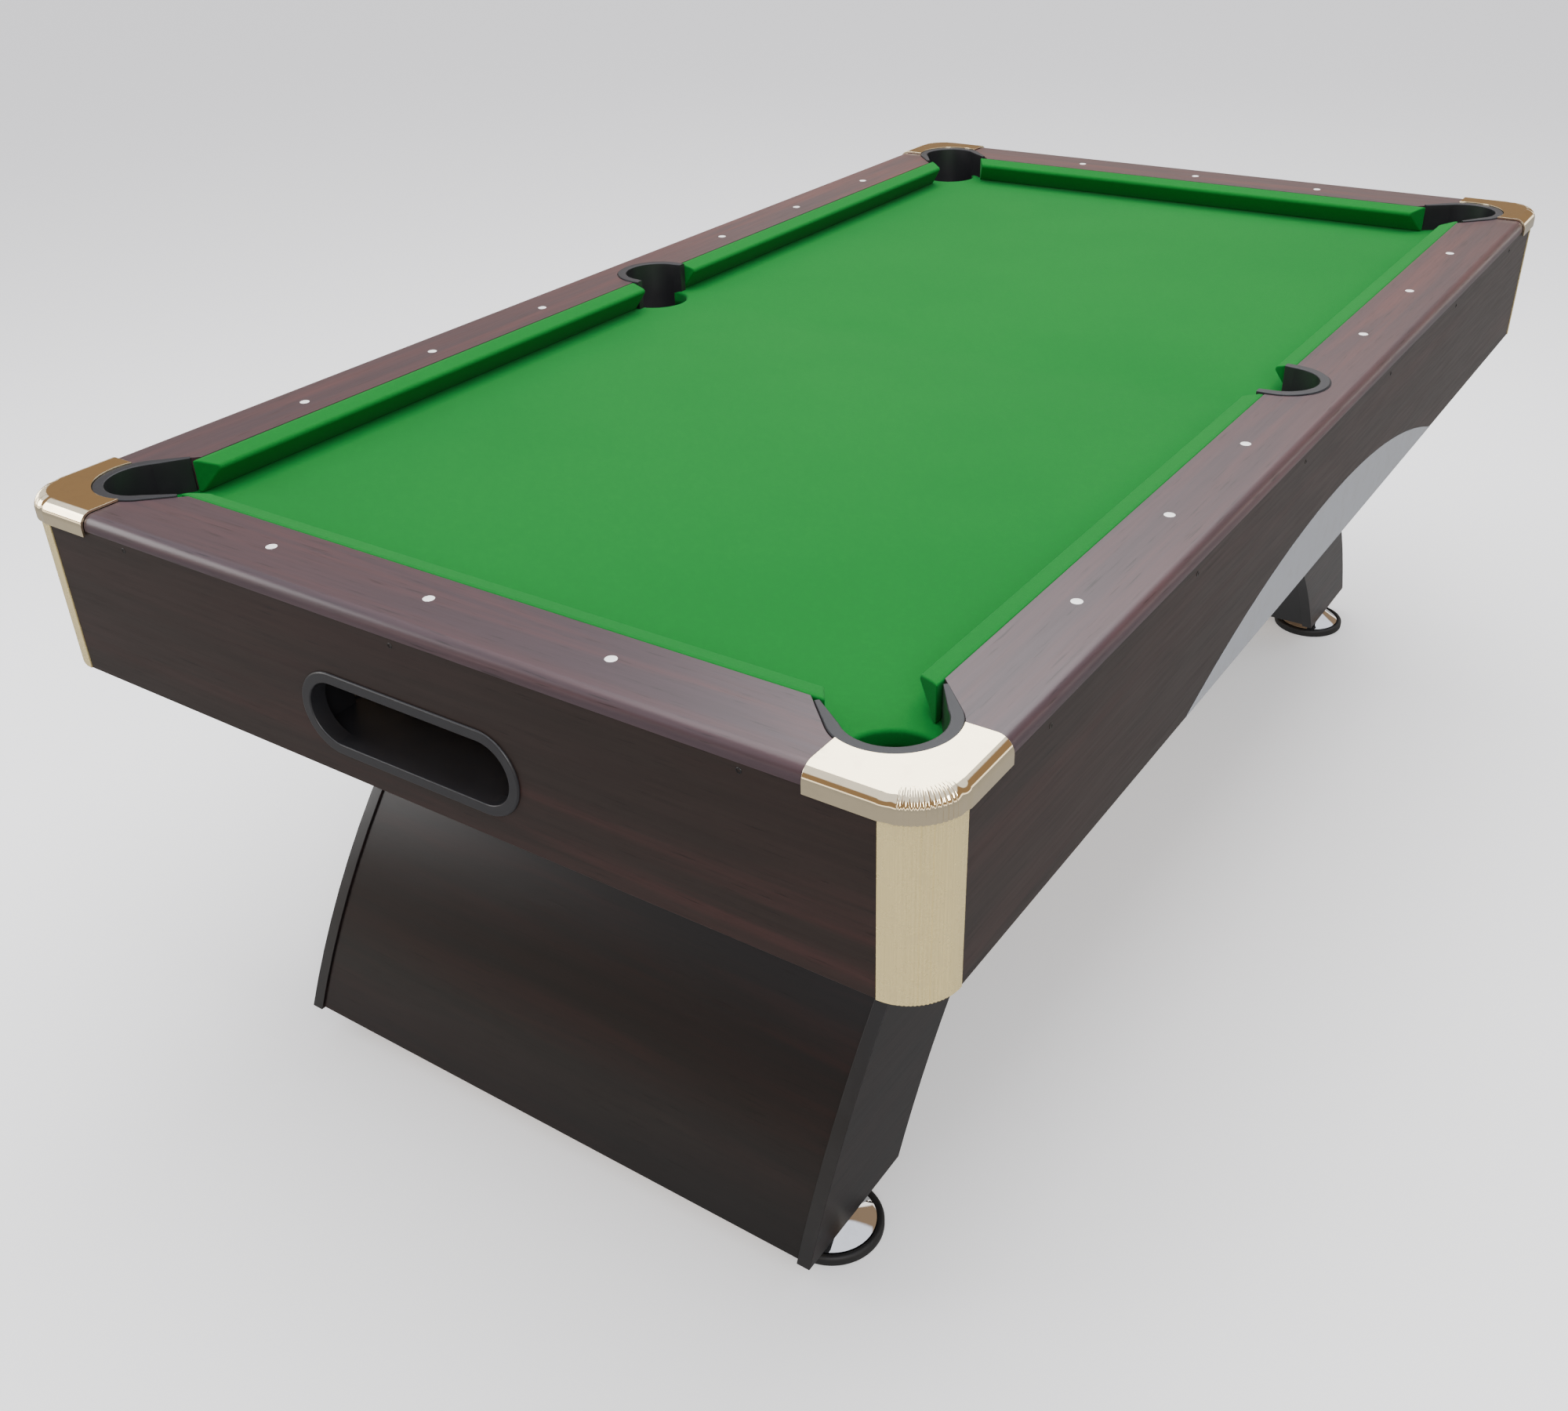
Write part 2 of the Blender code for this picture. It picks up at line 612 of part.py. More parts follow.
def channel(start, end, closed):
    """A sloping trough along Y between two points on its floor's middle line, as (outer, hollow)."""
    middle = start[0]
    half = CHANNEL_WIDTH / 2
    wall = half + CHANNEL_WALL
    length = end[1] - start[1]
    slope = (end[2] - start[2]) / length
    outer = box((middle - wall, 0, -CHANNEL_WALL), (middle + wall, length, CHANNEL_DEPTH))
    margin = CHANNEL_WALL if closed else -CHANNEL_WALL
    hollow = box((middle - half, margin, 0), (middle + half, length - margin, 2 * CHANNEL_DEPTH))
    for bm in (outer, hollow):
        for vert in bm.verts:
            vert.co.z += start[2] + slope * vert.co.y
            vert.co.y += start[1]
    return outer, hollow


def make_channels():
    """Two long troughs under the pockets, and two short ones from their low ends to the tray."""
    for side, x_sign in SIDES.items():
        start = (CHANNEL_X, -CHANNEL_END_Y, CHANNEL_NEAR_Z)
        outer, hollow = channel(start, (CHANNEL_X, CHANNEL_END_Y, CHANNEL_FAR_Z), True)
        origin = (x_sign * CHANNEL_X, -CHANNEL_END_Y, CHANNEL_NEAR_Z)
        trough = finish(f"ball_channel_{side}", mirrored(outer, x_sign), black_plastic(), origin)
        boolean(trough, mirrored(hollow, x_sign))
        mouth_low = -CORNER_POCKET_Y - CHANNEL_WIDTH / 2
        mouth_high = -CORNER_POCKET_Y + CHANNEL_WIDTH / 2
        inner = CHANNEL_X - CHANNEL_WIDTH / 2 - 2 * CHANNEL_WALL
        mouth = box(
            (inner, mouth_low, CHANNEL_NEAR_Z),
            (inner + 3 * CHANNEL_WALL, mouth_high, CHANNEL_NEAR_Z + 2 * CHANNEL_DEPTH),
        )
        boolean(trough, mirrored(mouth, x_sign))
        near = CHANNEL_X - CHANNEL_HALF - GAP
        tray_side = TRAY_WIDTH / 2 + GAP
        start = (CORNER_POCKET_Y, tray_side, CHANNEL_NEAR_Z - CROSS_CHANNEL_FALL)
        outer, hollow = channel(start, (CORNER_POCKET_Y, near, CHANNEL_NEAR_Z - GAP), False)
        for bm in (outer, hollow):
            bmesh.ops.rotate(bm, verts=bm.verts, matrix=Matrix.Rotation(math.radians(-90), 3, "Z"))
            mirrored(bm, x_sign)
        origin = (x_sign * near, -CORNER_POCKET_Y, CHANNEL_NEAR_Z)
        trough = finish(f"cross_channel_{side}", outer, black_plastic(), origin)
        boolean(trough, hollow)


def channel_floor(y):
    """Height of a long trough's floor at a place along the table."""
    share = (y + CHANNEL_END_Y) / (2 * CHANNEL_END_Y)
    return CHANNEL_NEAR_Z + (CHANNEL_FAR_Z - CHANNEL_NEAR_Z) * share


def arch_y(radius, z):
    """How far out from the middle an arch of this radius stands at a height."""
    return math.sqrt(radius**2 - (z - ARCH_Z) ** 2)


def leg_top_span():
    """The leg's inner and outer faces under its top board."""
    inner = arch_y(ARCH_INNER, LEG_INNER_ARC_TOP)
    return inner, arch_y(LEG_ARCH_OUTER, LEG_TOP)


def make_beams():
    """Cross beams between the side aprons, notched for the ball channels, over each leg."""
    inner, outer = leg_top_span()
    middle = (inner + outer) / 2
    for end, y_sign in ENDS.items():
        low = y_sign * middle - BEAM_THICKNESS / 2
        high = low + BEAM_THICKNESS
        seat = min(channel_floor(low), channel_floor(high)) - CHANNEL_WALL - GAP
        right = [
            (BED_X, APRON_UNDER + GAP),
            (BED_X, BED_UNDER - GAP),
            (CHANNEL_X + CHANNEL_HALF + GAP, BED_UNDER - GAP),
            (CHANNEL_X + CHANNEL_HALF + GAP, seat),
            (CHANNEL_X - CHANNEL_HALF - GAP, seat),
            (CHANNEL_X - CHANNEL_HALF - GAP, BED_UNDER - GAP),
        ]
        left = [(-x, z) for x, z in reversed(right)]
        bm = prism(right + left, low, high, "Y")
        finish(f"cross_beam_{end}", bm, raw_board(), (0, y_sign * middle, APRON_UNDER))


def arch_points(radius, low, high, segments=ARCH_SEGMENTS):
    """Points up an arch's face between two heights, as (y, z)."""
    points = []
    for step in range(segments + 1):
        z = low + (high - low) * step / segments
        points.append((arch_y(radius, z), z))
    return points


def leg_outline(outer_inset, inner_inset, low, high):
    """Section of a leg at the far end: arcs outside and inside, and upright inside near the top."""
    outer = arch_points(LEG_ARCH_OUTER - outer_inset, low, high)
    turn = min(LEG_INNER_ARC_TOP, high)
    inner = arch_points(ARCH_INNER + inner_inset, low, turn)
    if high > turn:
        inner.append((inner[-1][0], high))
    return outer + inner[::-1]


def make_legs():
    low = LEG_CLEARANCE
    high = LEG_TOP
    panel_out = LEG_PANEL_RECESS + LEG_PANEL
    between = LEG_HALF - LEG_BOARD - GAP
    inner, outer = leg_top_span()
    for end, y_sign in ENDS.items():
        for side, x_sign in SIDES.items():
            ends = sorted((x_sign * LEG_HALF, x_sign * (LEG_HALF - LEG_BOARD)))
            bm = mirrored(prism(leg_outline(0, 0, low, high), *ends, "X"), 1, y_sign)
            origin = (x_sign * LEG_HALF, y_sign * outer, high)
            finish(f"leg_{end}_side_{side}", bm, wood_leg(), origin)
        low_in = low + LEG_PANEL_RECESS
        skin = arch_points(LEG_ARCH_OUTER - LEG_PANEL_RECESS, low_in, high - GAP)
        skin += arch_points(LEG_ARCH_OUTER - panel_out, low_in, high - GAP)[::-1]
        bm = mirrored(prism(skin, -between, between, "X"), 1, y_sign)
        finish(f"leg_{end}_outer_panel", bm, wood_leg(), (0, y_sign * outer, high), smooth=True)
        face = leg_outline(0, LEG_PANEL_RECESS, low_in, high - GAP)[ARCH_SEGMENTS + 1 :]
        back = leg_outline(0, panel_out, low_in, high - GAP)[ARCH_SEGMENTS + 1 :]
        bm = mirrored(prism(face + back[::-1], -between, between, "X"), 1, y_sign)
        finish(f"leg_{end}_inner_panel", bm, black_board(), (0, y_sign * inner, high), smooth=True)
        base_high = low + LEG_BASE_BOARD
        base_inner = arch_y(ARCH_INNER + panel_out, low) + 2 * GAP
        base_outer = arch_y(LEG_ARCH_OUTER - panel_out, base_high) - 2 * GAP
        bm = mirrored(box((-between, base_inner, low), (between, base_outer, base_high)), 1, y_sign)
        board = finish(f"leg_{end}_base_board", bm, raw_board(), (0, y_sign * foot_y(), low))
        for x_sign in SIDES.values():
            centre = (x_sign * FOOT_X, y_sign * foot_y())
            radius = STEM_RADIUS + STEM_HOLE_CLEARANCE
            boolean(board, disc(centre, radius, low - radius, base_high + radius, TURNED_SEGMENTS))
        bm = box((-LEG_HALF, inner, LEG_TOP + GAP), (LEG_HALF, outer, APRON_UNDER))
        origin = (0, y_sign * inner, APRON_UNDER)
        finish(f"leg_{end}_top_board", mirrored(bm, 1, y_sign), raw_board(), origin)


def foot_y():
    """How far out from the middle of the table the feet stand: under the middle of a leg's base."""
    return (arch_y(LEG_ARCH_OUTER, LEG_CLEARANCE) + arch_y(ARCH_INNER, LEG_CLEARANCE)) / 2


def pad_profile():
    """Section of the rubber pad: a solid floor with a rounded rim that holds the dish."""
    rim = PAD_RIM_WIDTH / 2
    inner = FOOT_RADIUS - PAD_RIM_WIDTH
    top = arc((FOOT_RADIUS - rim, PAD_RIM_HEIGHT - rim), rim, 0, 180, PAD_RIM_SEGMENTS)
    return [(0, 0), (FOOT_RADIUS, 0)] + top + [(inner, PAD_FLOOR), (0, PAD_FLOOR)]


def dish_profile():
    """Section of the chromed dish and its threaded stem, which screws up into the leg's base."""
    rim = FOOT_RADIUS - PAD_RIM_WIDTH - GAP * 2
    low = PAD_FLOOR + GAP
    high = LEG_CLEARANCE - GAP
    flare_low = PAD_RIM_HEIGHT
    stem_top = LEG_CLEARANCE + LEG_BASE_BOARD + STEM_ABOVE_BASE
    profile = [(0, low), (rim, low), (rim, flare_low)]
    for step in range(1, DISH_STEPS):
        share = step / DISH_STEPS
        radius = DISH_NECK + (rim - DISH_NECK) * (1 - share) ** DISH_FLARE
        profile.append((radius, flare_low + (high - flare_low) * share))
    profile += [(DISH_NECK, high), (STEM_RADIUS, high), (STEM_RADIUS, stem_top), (0, stem_top)]
    return profile


def make_feet():
    """Levelling feet: each dish turns on its thread and carries the rubber pad up or down with it."""
    for end, y_sign in ENDS.items():
        for side, x_sign in SIDES.items():
            place = (x_sign * FOOT_X, y_sign * foot_y(), 0)
            for name, profile, look in (
                ("foot_pad", pad_profile(), rubber()),
                ("foot_dish", dish_profile(), chrome()),
            ):
                obj = finish(f"{name}_{end}_{side}", turned(profile), look, smooth=True)
                obj.location = place


def main():
    clear_scene()
    make_bed()
    make_rails()
    make_cushions()
    make_pocket_cups()
    make_castings()
    make_trims()
    make_aprons()
    make_bezel()
    make_tray()
    make_channels()
    make_beams()
    make_legs()
    make_feet()


main()
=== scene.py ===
"""Looks of a seven-foot pool table: laminate, cloth, gilt corners and the studio round it."""

import json
import math

import bmesh
import bpy
from mathutils import Matrix, Vector

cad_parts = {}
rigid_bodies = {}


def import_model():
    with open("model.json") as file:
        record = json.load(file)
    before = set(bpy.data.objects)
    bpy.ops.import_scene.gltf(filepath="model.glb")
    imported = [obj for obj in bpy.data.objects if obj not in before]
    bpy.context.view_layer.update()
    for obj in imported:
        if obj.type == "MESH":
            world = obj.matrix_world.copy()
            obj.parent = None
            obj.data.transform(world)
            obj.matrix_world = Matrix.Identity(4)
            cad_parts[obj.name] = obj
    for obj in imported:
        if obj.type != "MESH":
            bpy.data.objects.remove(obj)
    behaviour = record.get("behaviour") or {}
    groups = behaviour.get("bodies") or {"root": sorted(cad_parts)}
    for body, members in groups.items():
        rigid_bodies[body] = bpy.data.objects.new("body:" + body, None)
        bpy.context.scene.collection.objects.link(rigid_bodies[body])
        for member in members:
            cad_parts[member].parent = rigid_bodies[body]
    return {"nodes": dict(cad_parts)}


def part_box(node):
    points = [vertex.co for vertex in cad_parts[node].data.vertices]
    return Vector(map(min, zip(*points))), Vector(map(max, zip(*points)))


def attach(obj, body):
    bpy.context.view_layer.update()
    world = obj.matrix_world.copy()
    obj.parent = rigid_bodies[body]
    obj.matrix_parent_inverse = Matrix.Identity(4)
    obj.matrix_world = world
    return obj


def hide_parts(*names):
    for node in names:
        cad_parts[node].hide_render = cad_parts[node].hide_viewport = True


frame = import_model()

bl_info = {
    "name": "Pool table looks",
    "version": (1, 0, 0),
    "blender": (4, 5, 0),
    "location": "3D View > Sidebar > Pool table",
    "description": "Builds the visible pieces, finishes and studio of a pool table round its packed solids",
    "category": "Object",
}

SIDES = {"left": -1, "right": 1}
ENDS = {"near": -1, "far": 1}
CORNERS = [(end, side) for end in ENDS for side in SIDES]
CLEAR = 0.0003
CORNER_ARM = 0.042
MIDDLE_ARM = 0.012
MOUTH_SKEW = 0.66
MOUTH_FLARE = 0.003
CUSHION_FOOT = 0.0045
NOSE_DROP = 0.005
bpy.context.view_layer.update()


def top_of(node):
    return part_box(node)[1]


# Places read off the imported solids
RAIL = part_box("rail_right")
END_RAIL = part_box("rail_far")
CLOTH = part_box("bed_cloth")
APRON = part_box("apron_right")
END_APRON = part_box("apron_far")
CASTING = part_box("corner_casting_far_right")
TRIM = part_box("corner_trim_far_right")
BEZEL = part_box("window_bezel")
LIP_RADIUS = top_of("pocket_cup_middle_right").y
LIP_TOP = top_of("pocket_cup_middle_right").z
DROP_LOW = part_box("pocket_cup_middle_right")[0].z
MIDDLE_POCKET_X = top_of("pocket_cup_middle_right").x - LIP_RADIUS
CORNER_POCKET = top_of("pocket_cup_far_right") - Vector((LIP_RADIUS, LIP_RADIUS, 0))
RAIL_TOP = RAIL[1].z
CLOTH_TOP = CLOTH[1].z
CORNER_X = END_APRON[1].x + CLEAR
CORNER_Y = APRON[1].y + CLEAR


class TableSizes(bpy.types.PropertyGroup):
    """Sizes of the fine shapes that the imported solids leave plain"""

    rail_round: bpy.props.FloatProperty(
        name="Rail round", description="Radius of the rails' outer top edge", default=0.014, unit="LENGTH"
    )
    board_edge: bpy.props.FloatProperty(
        name="Board edge", description="Softened edge of laminated boards", default=0.0008, unit="LENGTH"
    )
    lip_width: bpy.props.FloatProperty(
        name="Lip width", description="Width of the pocket lips", default=0.013, unit="LENGTH"
    )
    lip_edge: bpy.props.FloatProperty(
        name="Lip edge", description="Rounding of the pocket lips", default=0.0014, unit="LENGTH"
    )
    fold_radius: bpy.props.FloatProperty(
        name="Cloth fold", description="Bend of the bed cloth into the pockets", default=0.0047, unit="LENGTH"
    )
    fold_depth: bpy.props.FloatProperty(
        name="Fold depth", description="How far the cloth hangs into a pocket", default=0.024, unit="LENGTH"
    )
    nose_round: bpy.props.FloatProperty(
        name="Nose round", description="Rounding of the cushions' nose", default=0.005, unit="LENGTH"
    )
    casting_ribs: bpy.props.IntProperty(
        name="Casting ribs", description="Ribs round a casting's corner", default=11, min=3
    )
    rib_depth: bpy.props.FloatProperty(
        name="Rib depth", description="Depth of the grooves between the ribs", default=0.0011, unit="LENGTH"
    )
    trim_ribs: bpy.props.IntProperty(
        name="Trim ribs", description="Fine ribs round a corner trim", default=15, min=4
    )
    sight_diameter: bpy.props.FloatProperty(
        name="Sight", description="Diameter of the white rail sights", default=0.0125, unit="LENGTH"
    )
    sight_spacing: bpy.props.FloatProperty(
        name="Sight spacing", description="Distance between rail sights", default=0.235, unit="LENGTH"
    )
    screw_diameter: bpy.props.FloatProperty(
        name="Screw head", description="Diameter of the dark screw heads", default=0.0066, unit="LENGTH"
    )


class TableColours(bpy.types.PropertyGroup):
    """Colours of the finishes"""

    cloth: bpy.props.FloatVectorProperty(
        name="Cloth", description="Billiard cloth", subtype="COLOR", size=3, default=(0.0045, 0.130, 0.0190)
    )
    rail_dark: bpy.props.FloatVectorProperty(
        name="Rail dark", description="Ground of the rails", subtype="COLOR", size=3,
        default=(0.042, 0.027, 0.033),
    )
    rail_red: bpy.props.FloatVectorProperty(
        name="Rail red", description="Red streaks of the rails", subtype="COLOR", size=3,
        default=(0.095, 0.034, 0.034),
    )
    apron_dark: bpy.props.FloatVectorProperty(
        name="Apron dark", description="Ground of the aprons", subtype="COLOR", size=3,
        default=(0.018, 0.0115, 0.0095),
    )
    apron_red: bpy.props.FloatVectorProperty(
        name="Apron red", description="Red streaks of the aprons", subtype="COLOR", size=3,
        default=(0.034, 0.014, 0.012),
    )
    leg_dark: bpy.props.FloatVectorProperty(
        name="Leg dark", description="Ground of the legs", subtype="COLOR", size=3,
        default=(0.0075, 0.0065, 0.0068),
    )
    leg_red: bpy.props.FloatVectorProperty(
        name="Leg red", description="Red streaks of the legs", subtype="COLOR", size=3,
        default=(0.022, 0.0085, 0.008),
    )
    lip: bpy.props.FloatVectorProperty(
        name="Pocket lip", description="Dark slate moulding of the pockets", subtype="COLOR", size=3,
        default=(0.0085, 0.0095, 0.0125),
    )
    gilt: bpy.props.FloatVectorProperty(
        name="Gilt", description="Polished gold plating", subtype="COLOR", size=3, default=(0.93, 0.80, 0.55)
    )
    satin: bpy.props.FloatVectorProperty(
        name="Satin gold", description="Ribbed corner trims", subtype="COLOR", size=3,
        default=(0.80, 0.66, 0.32),
    )
    inlay: bpy.props.FloatVectorProperty(
        name="Inlay", description="Silver-grey side inlay", subtype="COLOR", size=3, default=(0.33, 0.35, 0.38)
    )


# ---------------------------------------------------------------- node groups and finishes


def add(tree, kind, values=None, **settings):
    """A node with its settings and the values of its unlinked inputs."""
    made = tree.nodes.new(kind)
    for name, value in settings.items():
        setattr(made, name, value)
    for name, value in (values or {}).items():
        made.inputs[name].default_value = value
    return made


def link(tree, source, target):
    tree.links.new(source, target)


def new_group(name, inputs, outputs):
    """An empty shader node group with named sockets, as (tree, inputs, outputs)."""
    tree = bpy.data.node_groups.new(name, "ShaderNodeTree")
    for label, (kind, value) in inputs.items():
        socket = tree.interface.new_socket(label, in_out="INPUT", socket_type=f"NodeSocket{kind}")
        if value is not None:
            socket.default_value = value
    for label, kind in outputs.items():
        tree.interface.new_socket(label, in_out="OUTPUT", socket_type=f"NodeSocket{kind}")
    return tree, add(tree, "NodeGroupInput"), add(tree, "NodeGroupOutput")


def noise(tree, vector, scale, detail=4.0, rough=0.55, distortion=0.0):
    made = add(
        tree,
        "ShaderNodeTexNoise",
        {"Scale": scale, "Detail": detail, "Roughness": rough, "Distortion": distortion},
    )
    link(tree, vector, made.inputs["Vector"])
    return made.outputs[0]


def ramp(tree, value, low, high, to_low=0.0, to_high=1.0):
    made = add(tree, "ShaderNodeMapRange", interpolation_type="SMOOTHSTEP")
    for index, number in enumerate((low, high, to_low, to_high), start=1):
        made.inputs[index].default_value = number
    link(tree, value, made.inputs[0])
    return made.outputs[0]


def mix(tree, factor, first, second, blend="MIX"):
    """A colour mix; either side may be a socket or a colour."""
    made = add(tree, "ShaderNodeMix", data_type="RGBA", blend_type=blend)
    for index, value in ((0, factor), (6, first), (7, second)):
        if hasattr(value, "is_linked"):
            link(tree, value, made.inputs[index])
        else:
            made.inputs[index].default_value = value
    return made.outputs[2]


def maths(tree, operation, first, second):
    made = add(tree, "ShaderNodeMath", operation=operation)
    for index, value in enumerate((first, second)):
        if hasattr(value, "is_linked"):
            link(tree, value, made.inputs[index])
        else:
            made.inputs[index].default_value = value
    return made.outputs[0]


def grain_group():
    """Printed laminate: broad bands, fine streaks and pores that run along the vector's short axis."""
    found = bpy.data.node_groups.get("Laminate grain")
    if found:
        return found
    tree, inside, out = new_group(
        "Laminate grain",
        {
            "Vector": ("Vector", None),
            "Dark": ("Color", (0.05, 0.03, 0.03, 1)),
            "Red": ("Color", (0.12, 0.04, 0.03, 1)),
            "Sheen low": ("Float", 0.30),
            "Sheen high": ("Float", 0.42),
        },
        {"Colour": "Color", "Roughness": "Float", "Height": "Float"},
    )
    vector = inside.outputs["Vector"]
    broad = ramp(tree, noise(tree, vector, 5.0, 3.0, 0.5, 0.9), 0.40, 0.68)
    streaks = ramp(tree, noise(tree, vector, 34.0, 7.0, 0.62, 0.5), 0.36, 0.72)
    fine = noise(tree, vector, 210.0, 4.0, 0.6)
    pores = ramp(tree, noise(tree, vector, 420.0, 2.0, 0.5), 0.62, 0.74)
    red = maths(tree, "MULTIPLY", streaks, maths(tree, "ADD", maths(tree, "MULTIPLY", broad, 0.75), 0.25))
    base = mix(tree, red, inside.outputs["Dark"], inside.outputs["Red"])
    toned = mix(tree, ramp(tree, fine, 0.3, 0.7, 0.0, 0.35), base, mix(tree, 0.45, base, (0, 0, 0, 1)))
    link(tree, mix(tree, maths(tree, "MULTIPLY", pores, 0.55), toned, (0.004, 0.003, 0.003, 1)),
         out.inputs["Colour"])
    sheen = add(tree, "ShaderNodeMapRange")
    link(tree, fine, sheen.inputs[0])
    link(tree, inside.outputs["Sheen low"], sheen.inputs[3])
    link(tree, inside.outputs["Sheen high"], sheen.inputs[4])
    link(tree, sheen.outputs[0], out.inputs["Roughness"])
    link(tree, maths(tree, "SUBTRACT", maths(tree, "MULTIPLY", fine, 0.4), pores), out.inputs["Height"])
    return tree


def nap_group():
    """Billiard cloth: short fibres, faint mottling and paths worn a shade lighter."""
    found = bpy.data.node_groups.get("Cloth nap")
    if found:
        return found
    tree, inside, out = new_group(
        "Cloth nap",
        {"Vector": ("Vector", None), "Cloth": ("Color", (0.04, 0.34, 0.07, 1))},
        {"Colour": "Color", "Roughness": "Float", "Height": "Float"},
    )
    vector = inside.outputs["Vector"]
    fibres = noise(tree, vector, 1500.0, 3.0, 0.7)
    mottle = noise(tree, vector, 160.0, 4.0, 0.6)
    broad = noise(tree, vector, 3.2, 2.0, 0.5)
    shade = mix(tree, ramp(tree, fibres, 0.35, 0.65, 0.0, 0.30), inside.outputs["Cloth"],
                mix(tree, 0.55, inside.outputs["Cloth"], (0.0, 0.02, 0.0, 1)))
    shade = mix(tree, ramp(tree, mottle, 0.4, 0.7, 0.0, 0.12), shade, (0.012, 0.20, 0.034, 1))
    shade = mix(tree, ramp(tree, broad, 0.35, 0.7, 0.0, 0.14), shade, (0.002, 0.085, 0.012, 1))
    link(tree, shade, out.inputs["Colour"])
    link(tree, ramp(tree, mottle, 0.3, 0.7, 0.86, 0.98), out.inputs["Roughness"])
    link(tree, maths(tree, "ADD", fibres, maths(tree, "MULTIPLY", mottle, 0.5)), out.inputs["Height"])
    return tree


def handled_group():
    """Polished or satin metal that has been handled: smudges in the gloss and slight waviness."""
    found = bpy.data.node_groups.get("Handled metal")
    if found:
        return found
    tree, inside, out = new_group(
        "Handled metal",
        {
            "Vector": ("Vector", None),
            "Metal": ("Color", (0.9, 0.8, 0.5, 1)),
            "Clean": ("Float", 0.06),
            "Smudged": ("Float", 0.18),
        },
        {"Colour": "Color", "Roughness": "Float", "Height": "Float"},
    )
    vector = inside.outputs["Vector"]
    smudge = ramp(tree, noise(tree, vector, 38.0, 6.0, 0.65, 0.4), 0.45, 0.75)
    span = add(tree, "ShaderNodeMapRange")
    link(tree, smudge, span.inputs[0])
    link(tree, inside.outputs["Clean"], span.inputs[3])
    link(tree, inside.outputs["Smudged"], span.inputs[4])
    link(tree, span.outputs[0], out.inputs["Roughness"])
    dulled = mix(tree, 0.12, inside.outputs["Metal"], (0.35, 0.30, 0.24, 1))
    link(tree, mix(tree, smudge, inside.outputs["Metal"], dulled), out.inputs["Colour"])
    link(tree, noise(tree, vector, 60.0, 2.0, 0.5), out.inputs["Height"])
    return tree


def moulded_group():
    """Moulded plastic, rubber or paint: fine leathery grain, and dust in the hollows of it."""
    found = bpy.data.node_groups.get("Moulded grain")
    if found:
        return found
    tree, inside, out = new_group(
        "Moulded grain",
        {
            "Vector": ("Vector", None),
            "Base": ("Color", (0.02, 0.02, 0.02, 1)),
            "Dust": ("Color", (0.10, 0.10, 0.10, 1)),
            "Smooth": ("Float", 0.35),
            "Rough": ("Float", 0.55),
        },
        {"Colour": "Color", "Roughness": "Float", "Height": "Float"},
    )
    vector = inside.outputs["Vector"]
    grain = noise(tree, vector, 1100.0, 3.0, 0.6)
    patches = noise(tree, vector, 22.0, 5.0, 0.6)
    link(tree, mix(tree, ramp(tree, patches, 0.45, 0.85, 0.0, 0.22), inside.outputs["Base"],
                   inside.outputs["Dust"]), out.inputs["Colour"])
    span = add(tree, "ShaderNodeMapRange")
    link(tree, patches, span.inputs[0])
    link(tree, inside.outputs["Smooth"], span.inputs[3])
    link(tree, inside.outputs["Rough"], span.inputs[4])
    link(tree, span.outputs[0], out.inputs["Roughness"])
    link(tree, grain, out.inputs["Height"])
    return tree


def brushed_group():
    """Fine lines along the vector's short axis, as drawn or brushed metal has."""
    found = bpy.data.node_groups.get("Drawn lines")
    if found:
        return found
    tree, inside, out = new_group(
        "Drawn lines", {"Vector": ("Vector", None)}, {"Tone": "Float", "Height": "Float"}
    )
    lines = noise(tree, inside.outputs["Vector"], 900.0, 3.0, 0.7)
    link(tree, ramp(tree, lines, 0.3, 0.7), out.inputs["Tone"])
    link(tree, lines, out.inputs["Height"])
    return tree


def finish_of(name, group, colours, numbers, scale=(1, 1, 1), bump=0.02, shader=None):
    """A material: a node group fed by Object coordinates drives colour, gloss and bump."""
    found = bpy.data.materials.get(name)
    if found:
        return found
    made = bpy.data.materials.new(name)
    made.use_nodes = True
    tree = made.node_tree
    principled = tree.nodes["Principled BSDF"]
    places = add(tree, "ShaderNodeTexCoord")
    mapping = add(tree, "ShaderNodeMapping", {"Scale": scale})
    link(tree, places.outputs["Object"], mapping.inputs["Vector"])
    effect = add(tree, "ShaderNodeGroup", node_tree=group)
    link(tree, mapping.outputs["Vector"], effect.inputs["Vector"])
    for label, colour in colours.items():
        effect.inputs[label].default_value = (*colour, 1.0)
    for label, number in numbers.items():
        effect.inputs[label].default_value = number
    link(tree, effect.outputs["Colour"], principled.inputs["Base Color"])
    link(tree, effect.outputs["Roughness"], principled.inputs["Roughness"])
    bumps = add(tree, "ShaderNodeBump", {"Strength": 1.0, "Distance": bump / 1000})
    link(tree, effect.outputs["Height"], bumps.inputs["Height"])
    link(tree, bumps.outputs["Normal"], principled.inputs["Normal"])
    for label, value in (shader or {}).items():
        principled.inputs[label].default_value = value
    return made


def colours():
    return bpy.context.scene.table_colours


def sizes():
    return bpy.context.scene.table_sizes


ALONG = {"x": (0.045, 1, 1), "y": (1, 0.045, 1), "z": (1, 1, 0.045)}


def rail_wood(along):
    c = colours()
    return finish_of(
        f"rail_laminate_{along}", grain_group(), {"Dark": c.rail_dark, "Red": c.rail_red},
        {"Sheen low": 0.27, "Sheen high": 0.38}, ALONG[along], 0.03, {"Specular IOR Level": 0.40},
    )


def apron_wood(along):
    c = colours()
    return finish_of(
        f"apron_laminate_{along}", grain_group(), {"Dark": c.apron_dark, "Red": c.apron_red},
        {"Sheen low": 0.32, "Sheen high": 0.46}, ALONG[along], 0.03, {"Specular IOR Level": 0.28},
    )


